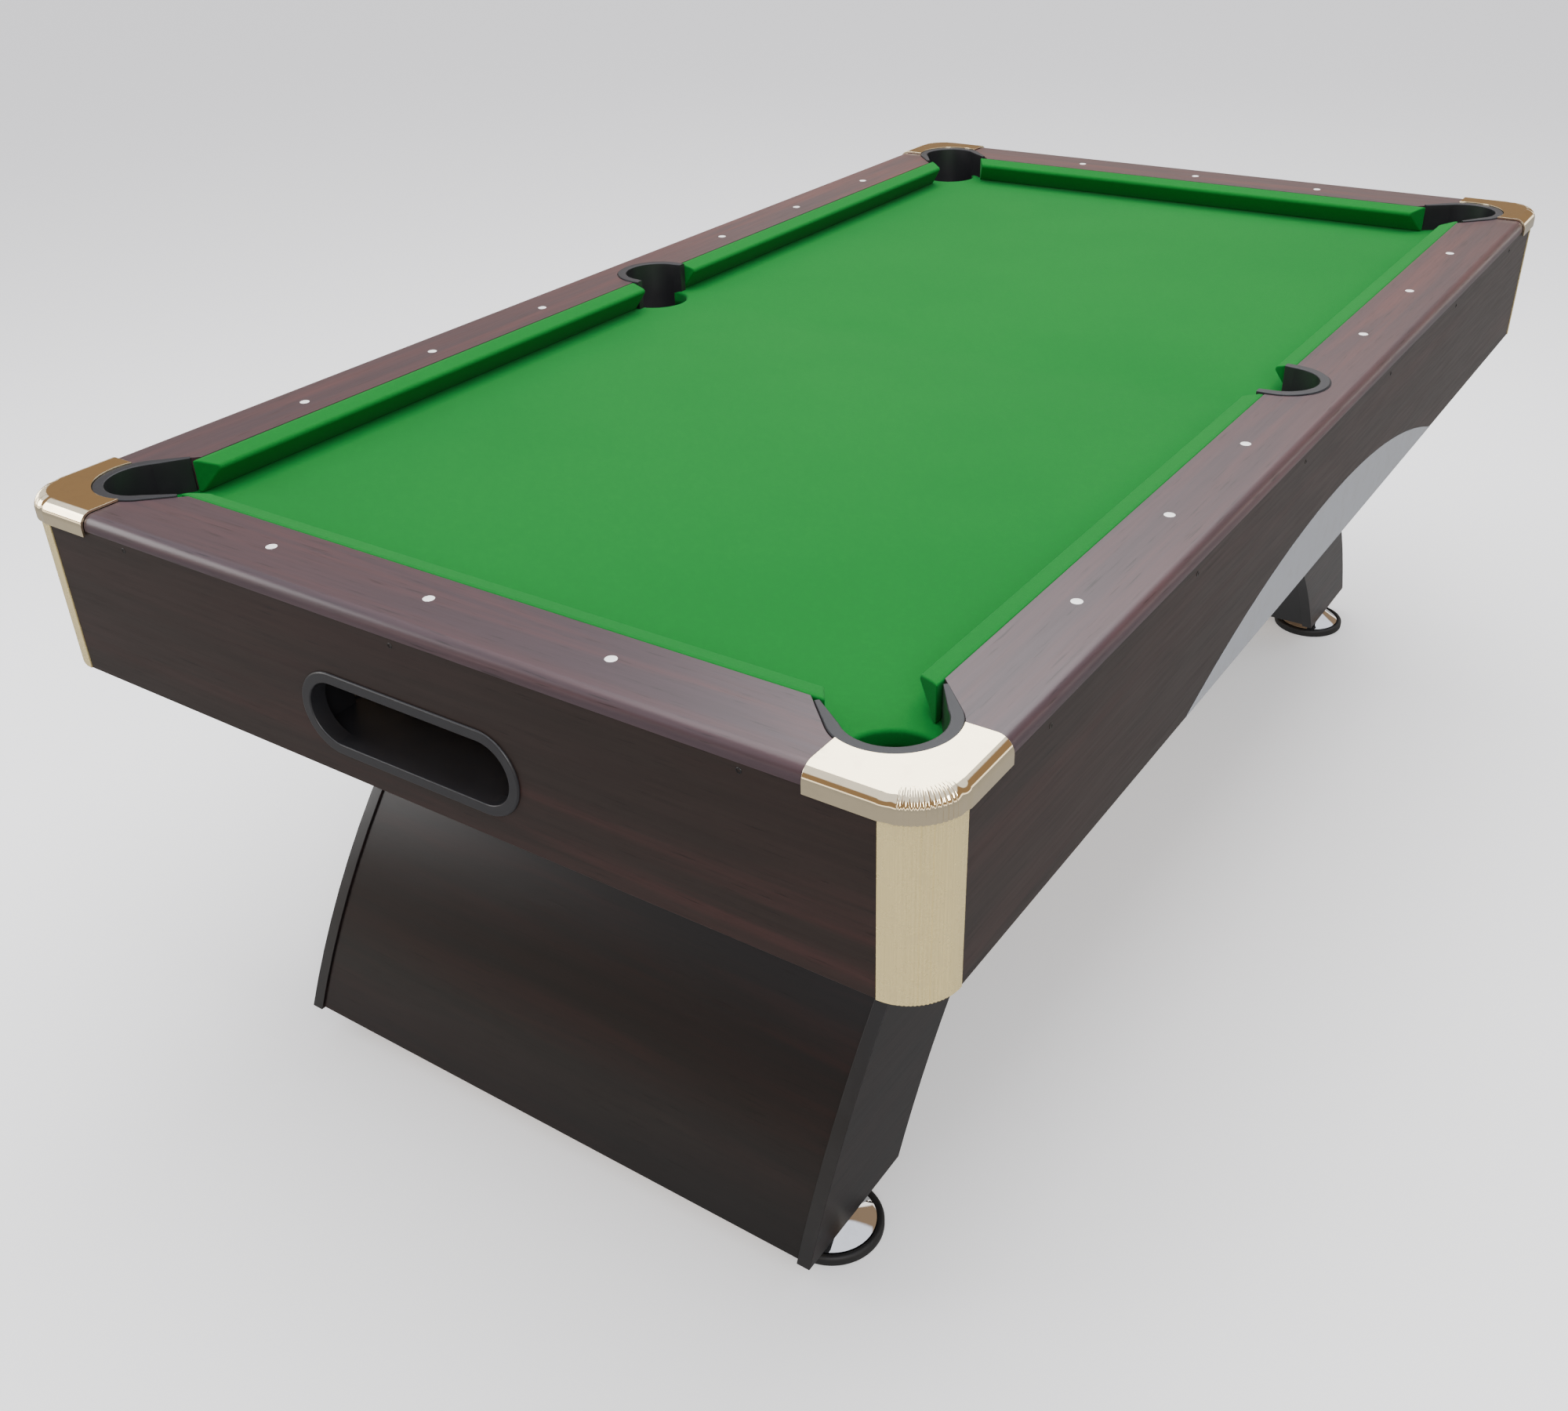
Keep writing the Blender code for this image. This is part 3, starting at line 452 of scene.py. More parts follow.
def leg_wood(along):
    c = colours()
    return finish_of(
        f"leg_laminate_{along}", grain_group(), {"Dark": c.leg_dark, "Red": c.leg_red},
        {"Sheen low": 0.26, "Sheen high": 0.38}, ALONG[along], 0.02, {"Specular IOR Level": 0.36},
    )


def fibreboard():
    return finish_of(
        "fibreboard", moulded_group(), {"Base": (0.30, 0.20, 0.115), "Dust": (0.42, 0.31, 0.20)},
        {"Smooth": 0.75, "Rough": 0.92}, (0.4, 0.4, 0.4), 0.12,
    )


def black_edge():
    return finish_of(
        "black_edging", moulded_group(), {"Base": (0.010, 0.010, 0.011), "Dust": (0.030, 0.030, 0.032)},
        {"Smooth": 0.30, "Rough": 0.45}, bump=0.02,
    )


def cloth():
    return finish_of(
        "billiard_cloth", nap_group(), {"Cloth": colours().cloth}, {}, bump=0.16,
        shader={"Sheen Weight": 0.08, "Sheen Roughness": 0.4, "Sheen Tint": (0.3, 0.95, 0.4, 1),
                "Specular IOR Level": 0.08},
    )


def slate_plastic():
    return finish_of(
        "slate_moulding", moulded_group(), {"Base": colours().lip, "Dust": (0.020, 0.022, 0.027)},
        {"Smooth": 0.42, "Rough": 0.55}, bump=0.03, shader={"Specular IOR Level": 0.35},
    )


def black_plastic():
    return finish_of(
        "black_moulding", moulded_group(), {"Base": (0.012, 0.012, 0.014), "Dust": (0.035, 0.035, 0.037)},
        {"Smooth": 0.28, "Rough": 0.45}, bump=0.02,
    )


def gilt_chrome():
    return finish_of(
        "gilt_plating", handled_group(), {"Metal": colours().gilt}, {"Clean": 0.05, "Smudged": 0.13},
        bump=0.05, shader={"Metallic": 1.0},
    )


def chrome():
    return finish_of(
        "chrome_plating", handled_group(), {"Metal": (0.80, 0.81, 0.83)}, {"Clean": 0.03, "Smudged": 0.10},
        bump=0.03, shader={"Metallic": 1.0},
    )


def rubber():
    return finish_of(
        "black_rubber", moulded_group(), {"Base": (0.008, 0.008, 0.008), "Dust": (0.040, 0.039, 0.037)},
        {"Smooth": 0.45, "Rough": 0.75}, bump=0.05,
    )


def white_plastic():
    return finish_of(
        "white_sight", moulded_group(), {"Base": (0.82, 0.82, 0.80), "Dust": (0.62, 0.62, 0.58)},
        {"Smooth": 0.16, "Rough": 0.26}, bump=0.01,
    )


def silver_sheet():
    return finish_of(
        "silver_inlay", handled_group(), {"Metal": colours().inlay}, {"Clean": 0.42, "Smudged": 0.50},
        bump=0.02, shader={"Metallic": 0.35},
    )


def black_steel():
    return finish_of(
        "blackened_screw", handled_group(), {"Metal": (0.018, 0.017, 0.017)},
        {"Clean": 0.30, "Smudged": 0.50}, bump=0.02, shader={"Metallic": 0.6},
    )


def gilt_satin():
    """Anodised gold with fine drawn lines that run up the trim."""
    made = finish_of(
        "satin_gold", handled_group(), {"Metal": colours().satin}, {"Clean": 0.26, "Smudged": 0.34},
        bump=0.02, shader={"Metallic": 0.55},
    )
    tree = made.node_tree
    if tree.nodes.get("Lines"):
        return made
    principled = tree.nodes["Principled BSDF"]
    places = next(n for n in tree.nodes if n.type == "TEX_COORD")
    mapping = add(tree, "ShaderNodeMapping", {"Scale": (1, 1, 0.01)}, name="Lines")
    link(tree, places.outputs["Object"], mapping.inputs["Vector"])
    lines = add(tree, "ShaderNodeGroup", node_tree=brushed_group())
    link(tree, mapping.outputs["Vector"], lines.inputs["Vector"])
    bumps = add(tree, "ShaderNodeBump", {"Strength": 1.0, "Distance": 0.00006})
    link(tree, lines.outputs["Height"], bumps.inputs["Height"])
    link(tree, bumps.outputs["Normal"], principled.inputs["Normal"])
    base = principled.inputs["Base Color"].links[0].from_socket
    dark = tuple(0.78 * part for part in colours().satin) + (1.0,)
    link(tree, mix(tree, maths(tree, "MULTIPLY", lines.outputs["Tone"], 0.5), base, dark),
         principled.inputs["Base Color"])
    return made


# ---------------------------------------------------------------- mesh helpers


def arc(centre, radius, start, end, segments):
    """Points along an arc, from angle start to angle end in degrees, both included."""
    points = []
    for step in range(segments + 1):
        angle = math.radians(start + (end - start) * step / segments)
        points.append((centre[0] + radius * math.cos(angle), centre[1] + radius * math.sin(angle)))
    return points


def prism(outline, low, high, along="Z"):
    """A flat outline pushed from low to high: (x, y) along Z, (y, z) along X, (x, z) along Y."""
    place = {
        "Z": lambda a, b: (a, b, low),
        "X": lambda a, b: (low, a, b),
        "Y": lambda a, b: (a, low, b),
    }[along]
    push = {"Z": (0, 0, high - low), "X": (high - low, 0, 0), "Y": (0, high - low, 0)}[along]
    bm = bmesh.new()
    face = bm.faces.new([bm.verts.new(place(a, b)) for a, b in outline])
    made = bmesh.ops.extrude_face_region(bm, geom=[face])["geom"]
    bmesh.ops.translate(bm, verts=[v for v in made if isinstance(v, bmesh.types.BMVert)], vec=push)
    bmesh.ops.recalc_face_normals(bm, faces=bm.faces)
    return bm


def turned(profile, steps, closed=False):
    """A profile of (radius, height) points spun about Z; closed joins its last point to its first."""
    bm = bmesh.new()
    chain = [bm.verts.new((radius, 0, height)) for radius, height in profile]
    pairs = list(zip(chain, chain[1:])) + ([(chain[-1], chain[0])] if closed else [])
    edges = [bm.edges.new(pair) for pair in pairs]
    bmesh.ops.spin(
        bm, geom=chain + edges, cent=(0, 0, 0), axis=(0, 0, 1), angle=math.tau, steps=steps,
        use_merge=True,
    )
    bmesh.ops.remove_doubles(bm, verts=bm.verts, dist=1e-6)
    bmesh.ops.recalc_face_normals(bm, faces=bm.faces)
    return bm


def merged(node):
    """The CAD node's shape as one clean mesh, with flat stretches as single faces."""
    bm = bmesh.new()
    bm.from_mesh(frame["nodes"][node].data)
    bmesh.ops.remove_doubles(bm, verts=bm.verts, dist=1e-6)
    bmesh.ops.dissolve_limit(
        bm, angle_limit=math.radians(0.4), verts=bm.verts, edges=bm.edges, use_dissolve_boundaries=False
    )
    return bm


def soften(bm, width, segments=2, sharp=35, wanted=lambda edge: True):
    """Rounds the edges that are sharper than an angle."""
    limit = math.radians(sharp)
    edges = [
        edge for edge in bm.edges
        if edge.is_manifold and edge.calc_face_angle(0) > limit and wanted(edge)
    ]
    bmesh.ops.bevel(
        bm, geom=edges, offset=width, segments=segments, profile=0.5, affect="EDGES", material=-1,
        clamp_overlap=True,
    )
    return bm


def turn_and_move(bm, angle, place):
    bmesh.ops.rotate(bm, verts=bm.verts, matrix=Matrix.Rotation(angle, 3, "Z"))
    bmesh.ops.translate(bm, verts=bm.verts, vec=place)
    return bm


def mirrored(bm, x_sign, y_sign=1):
    bmesh.ops.transform(bm, matrix=Matrix.Diagonal((x_sign, y_sign, 1, 1)), verts=bm.verts)
    if x_sign * y_sign < 0:
        bmesh.ops.reverse_faces(bm, faces=bm.faces)
    return bm


def to_object(name, bm):
    mesh = bpy.data.meshes.new(name)
    bm.to_mesh(mesh)
    bm.free()
    obj = bpy.data.objects.new(name, mesh)
    bpy.context.scene.collection.objects.link(obj)
    return obj


def combined(bm, others, operation="DIFFERENCE"):
    """The mesh after exact Booleans with each of the others."""
    body = to_object("work", bm)
    helpers = [to_object("work_tool", other) for other in others]
    for tool in helpers:
        step = body.modifiers.new("step", "BOOLEAN")
        step.operation = operation
        step.solver = "EXACT"
        step.object = tool
    graph = bpy.context.evaluated_depsgraph_get()
    result = bpy.data.meshes.new_from_object(body.evaluated_get(graph))
    made = bmesh.new()
    made.from_mesh(result)
    bpy.data.meshes.remove(result)
    for obj in [body, *helpers]:
        bpy.data.objects.remove(obj, do_unlink=True)
    bmesh.ops.remove_doubles(made, verts=made.verts, dist=1e-6)
    bmesh.ops.dissolve_limit(
        made, angle_limit=math.radians(0.2), verts=made.verts, edges=made.edges,
        use_dissolve_boundaries=False,
    )
    return made


def piece(name, bm, looks, nodes=(), body="table", sharp=30, weighted=True):
    """The finished piece: shaded, with its material, riding on its body."""
    obj = to_object(name, bm)
    obj.data.shade_smooth()
    obj.data.set_sharp_from_angle(angle=math.radians(sharp))
    for look in looks if isinstance(looks, list) else [looks]:
        obj.data.materials.append(look)
    if weighted:
        normals = obj.modifiers.new("weighted", "WEIGHTED_NORMAL")
        normals.keep_sharp = True
    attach(obj, body)
    if nodes:
        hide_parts(*nodes)
    return obj


def pockets():
    """Each pocket's name, centre, the way its closed side faces, and the length of its arms."""
    found = []
    for end, side in CORNERS:
        x_sign, y_sign = SIDES[side], ENDS[end]
        centre = Vector((x_sign * CORNER_POCKET.x, y_sign * CORNER_POCKET.y, 0))
        found.append((f"{end}_{side}", centre, math.atan2(y_sign, x_sign), CORNER_ARM))
    for side, x_sign in SIDES.items():
        centre = Vector((x_sign * MIDDLE_POCKET_X, 0, 0))
        found.append((f"middle_{side}", centre, math.atan2(0, x_sign), MIDDLE_ARM))
    return found


def pocket_cutters(wanted):
    """U-shaped blocks that clear the room for the named pockets' lips."""
    made = []
    for name, centre, facing, _ in pockets():
        if name in wanted:
            radius = LIP_RADIUS + CLEAR
            reach = 4 * LIP_RADIUS
            outline = arc((0, 0), radius, -90, 90, 48) + [(-reach, radius), (-reach, -radius)]
            bm = prism(outline, DROP_LOW, LIP_TOP + LIP_RADIUS)
            made.append(turn_and_move(bm, facing, centre))
    return made


# ---------------------------------------------------------------- pieces


class TABLE_OT_rails(bpy.types.Operator):
    """Laminated rails with a rounded outer edge"""

    bl_idname = "table.rails"
    bl_label = "Rails"

    def execute(self, context):
        for along, box, names in (("Y", RAIL, SIDES), ("X", END_RAIL, ENDS)):
            inner, outer = (box[0].x, box[1].x) if along == "Y" else (box[0].y, box[1].y)
            half = box[1].y if along == "Y" else box[1].x
            lap = APRON[1].z + CLEAR
            board = outer - (APRON[1].x - APRON[0].x) - 0.002
            outline = [(inner, box[0].z), (board, box[0].z), (board, lap), (outer, lap),
                       (outer, RAIL_TOP), (inner, RAIL_TOP)]
            for name, sign in names.items():
                bm = prism(outline, -half, half, along)
                across = 0 if along == "Y" else 1
                rounded = [
                    e for e in bm.edges
                    if all(v.co[across] > outer - CLEAR and v.co.z > RAIL_TOP - CLEAR for v in e.verts)
                ]
                bmesh.ops.bevel(bm, geom=rounded, offset=sizes().rail_round, segments=12, profile=0.5,
                                affect="EDGES", material=-1)
                mirrored(bm, sign if along == "Y" else 1, sign if along == "X" else 1)
                if along == "Y":
                    wanted = {f"near_{name}", f"far_{name}", f"middle_{name}"}
                else:
                    wanted = {f"{name}_left", f"{name}_right"}
                bm = soften(combined(bm, pocket_cutters(wanted)), 0.0005, 2, 40)
                piece(f"rail_top_{name}", bm, rail_wood(along.lower()), [f"rail_{name}"])
        return {"FINISHED"}


class TABLE_OT_aprons(bpy.types.Operator):
    """Aprons under the rails, and the silver arcs let into the long ones"""

    bl_idname = "table.aprons"
    bl_label = "Aprons"

    def execute(self, context):
        edge = sizes().board_edge
        for name in ENDS:
            bm = soften(merged(f"apron_{name}"), edge)
            piece(f"apron_board_{name}", bm, apron_wood("x"), [f"apron_{name}"])
        for name in SIDES:
            bm = soften(merged(f"apron_{name}"), edge / 4)
            piece(f"apron_board_{name}", bm, apron_wood("y"), [f"apron_{name}"])
            bm = soften(merged(f"side_inlay_{name}"), edge / 4)
            piece(f"silver_arc_{name}", bm, silver_sheet(), [f"side_inlay_{name}"])
        return {"FINISHED"}


class TABLE_OT_bed(bpy.types.Operator):
    """Cloth stretched over the bed and turned down into the pockets"""

    bl_idname = "table.bed"
    bl_label = "Bed cloth"

    def execute(self, context):
        s = sizes()
        thick = CLOTH[1].z - CLOTH[0].z
        bm = bmesh.new()
        corner = CLOTH[1].x - CORNER_X
        outline = []
        for x_sign, y_sign, start in ((1, 1, 0), (-1, 1, 90), (-1, -1, 180), (1, -1, 270)):
            centre = (x_sign * (CLOTH[1].x - corner), y_sign * (CLOTH[1].y - corner))
            outline += arc(centre, corner, start, start + 90, 8)
        loops = [outline]
        hole = LIP_RADIUS - s.lip_width + s.fold_radius - 0.0002
        for _, centre, _, _ in pockets():
            loops.append(arc(centre, hole, 0, 357.5, 143))
        edges = []
        for loop in loops:
            verts = [bm.verts.new((x, y, CLOTH_TOP)) for x, y in loop]
            edges += [bm.edges.new((a, b)) for a, b in zip(verts, verts[1:] + verts[:1])]
        bmesh.ops.triangle_fill(bm, edges=edges, use_beauty=True, use_dissolve=False, normal=(0, 0, 1))
        for _, centre, facing, _ in pockets():
            self.fold(bm, centre, facing, hole)
        bmesh.ops.recalc_face_normals(bm, faces=bm.faces)
        if max(bm.faces, key=lambda f: f.calc_area()).normal.z < 0:
            bmesh.ops.reverse_faces(bm, faces=bm.faces)
        obj = piece("cloth_on_bed", bm, cloth(), ["bed_cloth"], weighted=False, sharp=60)
        solid = obj.modifiers.new("thickness", "SOLIDIFY")
        solid.thickness = thick
        solid.offset = -1
        return {"FINISHED"}

    def fold(self, bm, centre, facing, hole):
        """Turns the cloth down round the open half of a pocket."""
        s = sizes()
        open_way = Vector((-math.cos(facing), -math.sin(facing), 0))
        rim = [
            e for e in bm.edges
            if all(abs((Vector((v.co.x, v.co.y, 0)) - centre).length - hole) < 1e-5 for v in e.verts)
            and e.is_boundary
            and sum(((v.co - centre).dot(open_way) for v in e.verts)) > -0.004
        ]
        rings = [
            (hole - math.sin(turn) * s.fold_radius, CLOTH_TOP - s.fold_radius * (1 - math.cos(turn)))
            for turn in (math.radians(degrees) for degrees in (15, 30, 45, 60, 75, 90))
        ]
        rings.append((rings[-1][0], CLOTH_TOP - s.fold_depth * 0.6))
        rings.append((rings[-1][0], CLOTH_TOP - s.fold_depth))
        for radius, z in rings:
            made = bmesh.ops.extrude_edge_only(bm, edges=rim)["geom"]
            rim = [e for e in made if isinstance(e, bmesh.types.BMEdge)]
            for vert in (v for v in made if isinstance(v, bmesh.types.BMVert)):
                flat = Vector((vert.co.x, vert.co.y, 0)) - centre
                vert.co = centre + flat.normalized() * radius + Vector((0, 0, z))


class TABLE_OT_cushions(bpy.types.Operator):
    """Cloth-covered cushions, cut askew at the pockets"""

    bl_idname = "table.cushions"
    bl_label = "Cushions"

    def execute(self, context):
        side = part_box("cushion_right_far")
        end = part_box("cushion_far")
        depth = RAIL[0].x - side[0].x
        for y_name, y_sign in ENDS.items():
            for x_name, x_sign in SIDES.items():
                bm = self.bar(depth, side[0].y - MOUTH_FLARE, side[1].y, RAIL[0].x)
                self.slice(bm, (RAIL[0].x, side[1].y, 0), (-MOUTH_SKEW, 1, 0))
                self.slice(bm, (RAIL[0].x, side[0].y, 0), (-MOUTH_FLARE / depth, -1, 0))
                node = f"cushion_{x_name}_{y_name}"
                self.finish(mirrored(bm, x_sign, y_sign), f"cloth_{node}", node)
            bm = self.bar(depth, -end[1].x, end[1].x, END_RAIL[0].y)
            self.slice(bm, (END_RAIL[0].y, end[1].x, 0), (-MOUTH_SKEW, 1, 0))
            self.slice(bm, (END_RAIL[0].y, -end[1].x, 0), (-MOUTH_SKEW, -1, 0))
            bmesh.ops.transform(bm, matrix=Matrix(((0, 1, 0, 0), (1, 0, 0, 0), (0, 0, 1, 0), (0, 0, 0, 1))),
                                verts=bm.verts)
            bmesh.ops.reverse_faces(bm, faces=bm.faces)
            self.finish(mirrored(bm, 1, y_sign), f"cloth_cushion_{y_name}", f"cushion_{y_name}")
        return {"FINISHED"}

    def bar(self, depth, low, high, rail_face):
        """A cushion along Y on the right-hand rail, still cut square."""
        s = sizes()
        nose = depth - s.nose_round
        nose_z = RAIL_TOP - NOSE_DROP - s.nose_round
        section = [(CLEAR, CLOTH_TOP + CLEAR), (CUSHION_FOOT, CLOTH_TOP + CLEAR)]
        section += arc((nose, nose_z), s.nose_round, -48, 76, 12)
        section += arc((CUSHION_FOOT, RAIL_TOP - CLEAR - 0.010), 0.010, 76, 90, 3)
        section += [(CLEAR, RAIL_TOP - CLEAR)]
        return prism([(rail_face - out, z) for out, z in section], low, high, "Y")

    def slice(self, bm, place, outward):
        """Cuts off what lies beyond a plane and closes the cut."""
        cut = bmesh.ops.bisect_plane(
            bm, geom=bm.verts[:] + bm.edges[:] + bm.faces[:], dist=1e-6, plane_co=place,
            plane_no=outward, clear_outer=True,
        )["geom_cut"]
        edges = [e for e in cut if isinstance(e, bmesh.types.BMEdge)]
        bmesh.ops.edgeloop_fill(bm, edges=edges)
        bmesh.ops.recalc_face_normals(bm, faces=bm.faces)

    def finish(self, bm, name, node):
        bmesh.ops.recalc_face_normals(bm, faces=bm.faces)
        obj = piece(name, soften(bm, 0.0022, 4, 40), cloth(), [node], sharp=50)


class TABLE_OT_pockets(bpy.types.Operator):
    """Slate-coloured pocket liners: lip, wall and drop, with painted shade in black on the wall and drop"""

    bl_idname = "table.pockets"
    bl_label = "Pocket liners"

    def execute(self, context):
        s = sizes()
        inner = LIP_RADIUS - s.lip_width
        shell = inner + 0.0035
        seat = CLOTH_TOP + CLEAR
        tube_top = CLOTH_TOP - 0.0052
        edge = s.lip_edge
        for name, centre, facing, arm in pockets():
            section = [(inner, tube_top - 0.0005)]
            section += arc((inner + edge, LIP_TOP - edge), edge, 180, 90, 4)
            section += arc((LIP_RADIUS - edge, LIP_TOP - edge), edge, 90, 0, 4)
            section += [(LIP_RADIUS, seat), (shell, seat), (shell, tube_top - 0.0005)]
            bm = bmesh.new()
            chain = [bm.verts.new((0, -r, z)) for r, z in section]
            edges = [bm.edges.new(pair) for pair in zip(chain, chain[1:] + chain[:1])]
            made = bmesh.ops.extrude_edge_only(bm, edges=edges)["geom"]
            self.narrow([v for v in made if isinstance(v, bmesh.types.BMVert)], arm, inner)
            bmesh.ops.spin(bm, geom=chain + edges, cent=(0, 0, 0), axis=(0, 0, 1), angle=math.pi, steps=64)
            bmesh.ops.remove_doubles(bm, verts=bm.verts, dist=1e-7)
            last = [e for e in bm.edges if e.is_boundary and all(v.co.y > 0 for v in e.verts)]
            made = bmesh.ops.extrude_edge_only(bm, edges=last)["geom"]
            self.narrow([v for v in made if isinstance(v, bmesh.types.BMVert)], arm, inner)
            bmesh.ops.holes_fill(bm, edges=[e for e in bm.edges if e.is_boundary])
            bmesh.ops.recalc_face_normals(bm, faces=bm.faces)
            # Painted shade: faces below the lip's top take the black moulding, a darker copy of the slate
            # liner standing in for the shade on its sides.
            for face in bm.faces:
                face.material_index = int(face.calc_center_median().z < LIP_TOP - 0.003)
            wall = [(inner, DROP_LOW), (inner, tube_top), (shell, tube_top), (shell, DROP_LOW)]
            tube = turned(wall, 72, True)
            # Painted shade: the drop takes the black moulding for the shade inside the pocket.
            for face in tube.faces:
                face.material_index = 1
            spare = bpy.data.meshes.new("spare")
            tube.to_mesh(spare)
            tube.free()
            bm.from_mesh(spare)
            bpy.data.meshes.remove(spare)
            self.teeth(bm)
            turn_and_move(bm, facing, centre)
            piece(f"pocket_liner_{name}", bm, [slate_plastic(), black_plastic()],
                  [f"pocket_cup_{name}"])
        return {"FINISHED"}

    def narrow(self, verts, arm, inner):
        """Moves the end of an arm out, and its inner side closer to its outer side."""
        taper = arm * 0.19
        for vert in verts:
            vert.co.x -= arm
            share = max(0, (LIP_RADIUS - abs(vert.co.y)) / (LIP_RADIUS - inner))
            vert.co.y += math.copysign(taper * share, vert.co.y)

    def teeth(self, bm):
        """Fine teeth under the lip on its closed side."""
        count = 31
        for step in range(count):
            angle = math.radians(-38 + 76 * step / (count - 1))
            made = bmesh.ops.create_cube(bm, size=1.0)["verts"]
            bmesh.ops.scale(bm, verts=made, vec=(0.0032, 0.0016, 0.0016))
            bmesh.ops.translate(bm, verts=made, vec=(LIP_RADIUS - 0.0002, 0, LIP_TOP - 0.0022))
            bmesh.ops.rotate(bm, verts=made, matrix=Matrix.Rotation(angle, 3, "Z"))


class TABLE_OT_castings(bpy.types.Operator):
    """Gilt corner castings with ribs round the rolled corner"""

    bl_idname = "table.castings"
    bl_label = "Corner castings"

    def execute(self, context):
        wall = 0.003
        roll = sizes().rail_round + CASTING[1].z - RAIL_TOP
        for end, side in CORNERS:
            x_sign, y_sign = SIDES[side], ENDS[end]
            shell = self.block(0, roll, CASTING[0].z, 0, 96, 12)
            self.rib(shell, roll)
            hollow = self.block(wall, roll - wall, CASTING[0].z - wall, wall, 24, 4)
            cutters = [hollow] + [
                mirrored(bm, x_sign, y_sign) for bm in pocket_cutters({f"{end}_{side}"})
            ]
            bm = combined(shell, cutters)
            soften(bm, 0.0005, 2, 50)
            mirrored(bm, x_sign, y_sign)
            piece(f"gilt_casting_{end}_{side}", bm, gilt_chrome(),
                  [f"corner_casting_{end}_{side}"], sharp=40)
        return {"FINISHED"}

    def block(self, inset, roll, bottom, beyond, steps, roll_steps):
        """The corner's outline in the far right-hand corner, rolled over along its outer top edge."""
        radius = CASTING[1].x - CORNER_X - inset
        top = CASTING[1].z - inset
        left, back = CASTING[0].x - beyond, CASTING[0].y - beyond
        far = CORNER_Y + radius
        right = CORNER_X + radius
        outline = [(left, back), (right, back)]
        outline += arc((CORNER_X, CORNER_Y), radius, 0, 90, steps)
        outline += [(left, far)]
        bm = prism(outline, bottom, top)
        rolled = [
            e for e in bm.edges
            if all(v.co.z > top - CLEAR for v in e.verts)
            and all(v.co.x > right - radius - CLEAR or v.co.y > far - CLEAR for v in e.verts)
            and not all(v.co.y < back + CLEAR for v in e.verts)
            and not all(v.co.x < left + CLEAR for v in e.verts)
        ]
        bmesh.ops.bevel(bm, geom=rolled, offset=roll, segments=roll_steps, profile=0.5, affect="EDGES",
                        material=-1)
        return bm

    def rib(self, bm, roll):
        """Sinks grooves into the rolled corner, and swells it a little where the ribs begin."""
        s = sizes()
        radius = CASTING[1].x - CORNER_X
        middle = Vector((radius - roll, CASTING[1].z - roll))
        spread = 27.0
        for vert in bm.verts:
            flat = Vector((vert.co.x - CORNER_X, vert.co.y - CORNER_Y))
            if min(flat) <= 1e-5 or flat.length < middle.x - CLEAR:
                continue
            turn = math.degrees(math.atan2(flat.y, flat.x)) - 45
            out = Vector((flat.length - middle.x, max(vert.co.z - middle.y, 0)))
            if out.length < 1e-6:
                continue
            out.normalize()
            if abs(turn) < spread:
                phase = (turn / spread + 1) / 2 * s.casting_ribs
                depth = s.rib_depth * abs(math.cos(math.pi * phase)) ** 3
            else:
                past = (abs(turn) - spread) / (45 - spread)
                depth = s.rib_depth * 0.9 * math.sin(math.pi * min(1, past)) ** 2
            share = min(1, 2 * math.hypot(*out) * (out.x + 0.15))
            flat = flat.normalized() * (flat.length - depth * share * out.x)
            vert.co = Vector((CORNER_X + flat.x, CORNER_Y + flat.y, vert.co.z - depth * share * out.y))


class TABLE_OT_trims(bpy.types.Operator):
    """Ribbed satin gold trims up the corners"""

    bl_idname = "table.trims"
    bl_label = "Corner trims"

    def execute(self, context):
        s = sizes()
        face = TRIM[1].x - CORNER_X
        wall = 0.003
        lip = face - 0.001 - (APRON[1].x - APRON[0].x)
        points = 8 * s.trim_ribs
        outline = []
        for step in range(points + 1):
            turn = 90 * step / points
            share = (turn - 15) / 60
            swell = math.sin(math.pi * share) ** 0.5 if 0 < share < 1 else 0
            groove = 0.0009 * swell * abs(math.cos(math.pi * share * s.trim_ribs)) ** 3
            angle = math.radians(turn)
            outline.append((CORNER_X + (face - groove) * math.cos(angle),
                            CORNER_Y + (face - groove) * math.sin(angle)))
        outline += [(CORNER_X, CORNER_Y + lip), (CORNER_X + wall, CORNER_Y + lip)]
        outline += arc((CORNER_X, CORNER_Y), face - wall, 85, 5, 16)
        outline += [(CORNER_X + lip, CORNER_Y + wall), (CORNER_X + lip, CORNER_Y)]
        for end, side in CORNERS:
            bm = mirrored(prism(outline, TRIM[0].z, TRIM[1].z), SIDES[side], ENDS[end])
            piece(f"gold_trim_{end}_{side}", bm, gilt_satin(),
                  [f"corner_trim_{end}_{side}"], sharp=50)
        return {"FINISHED"}


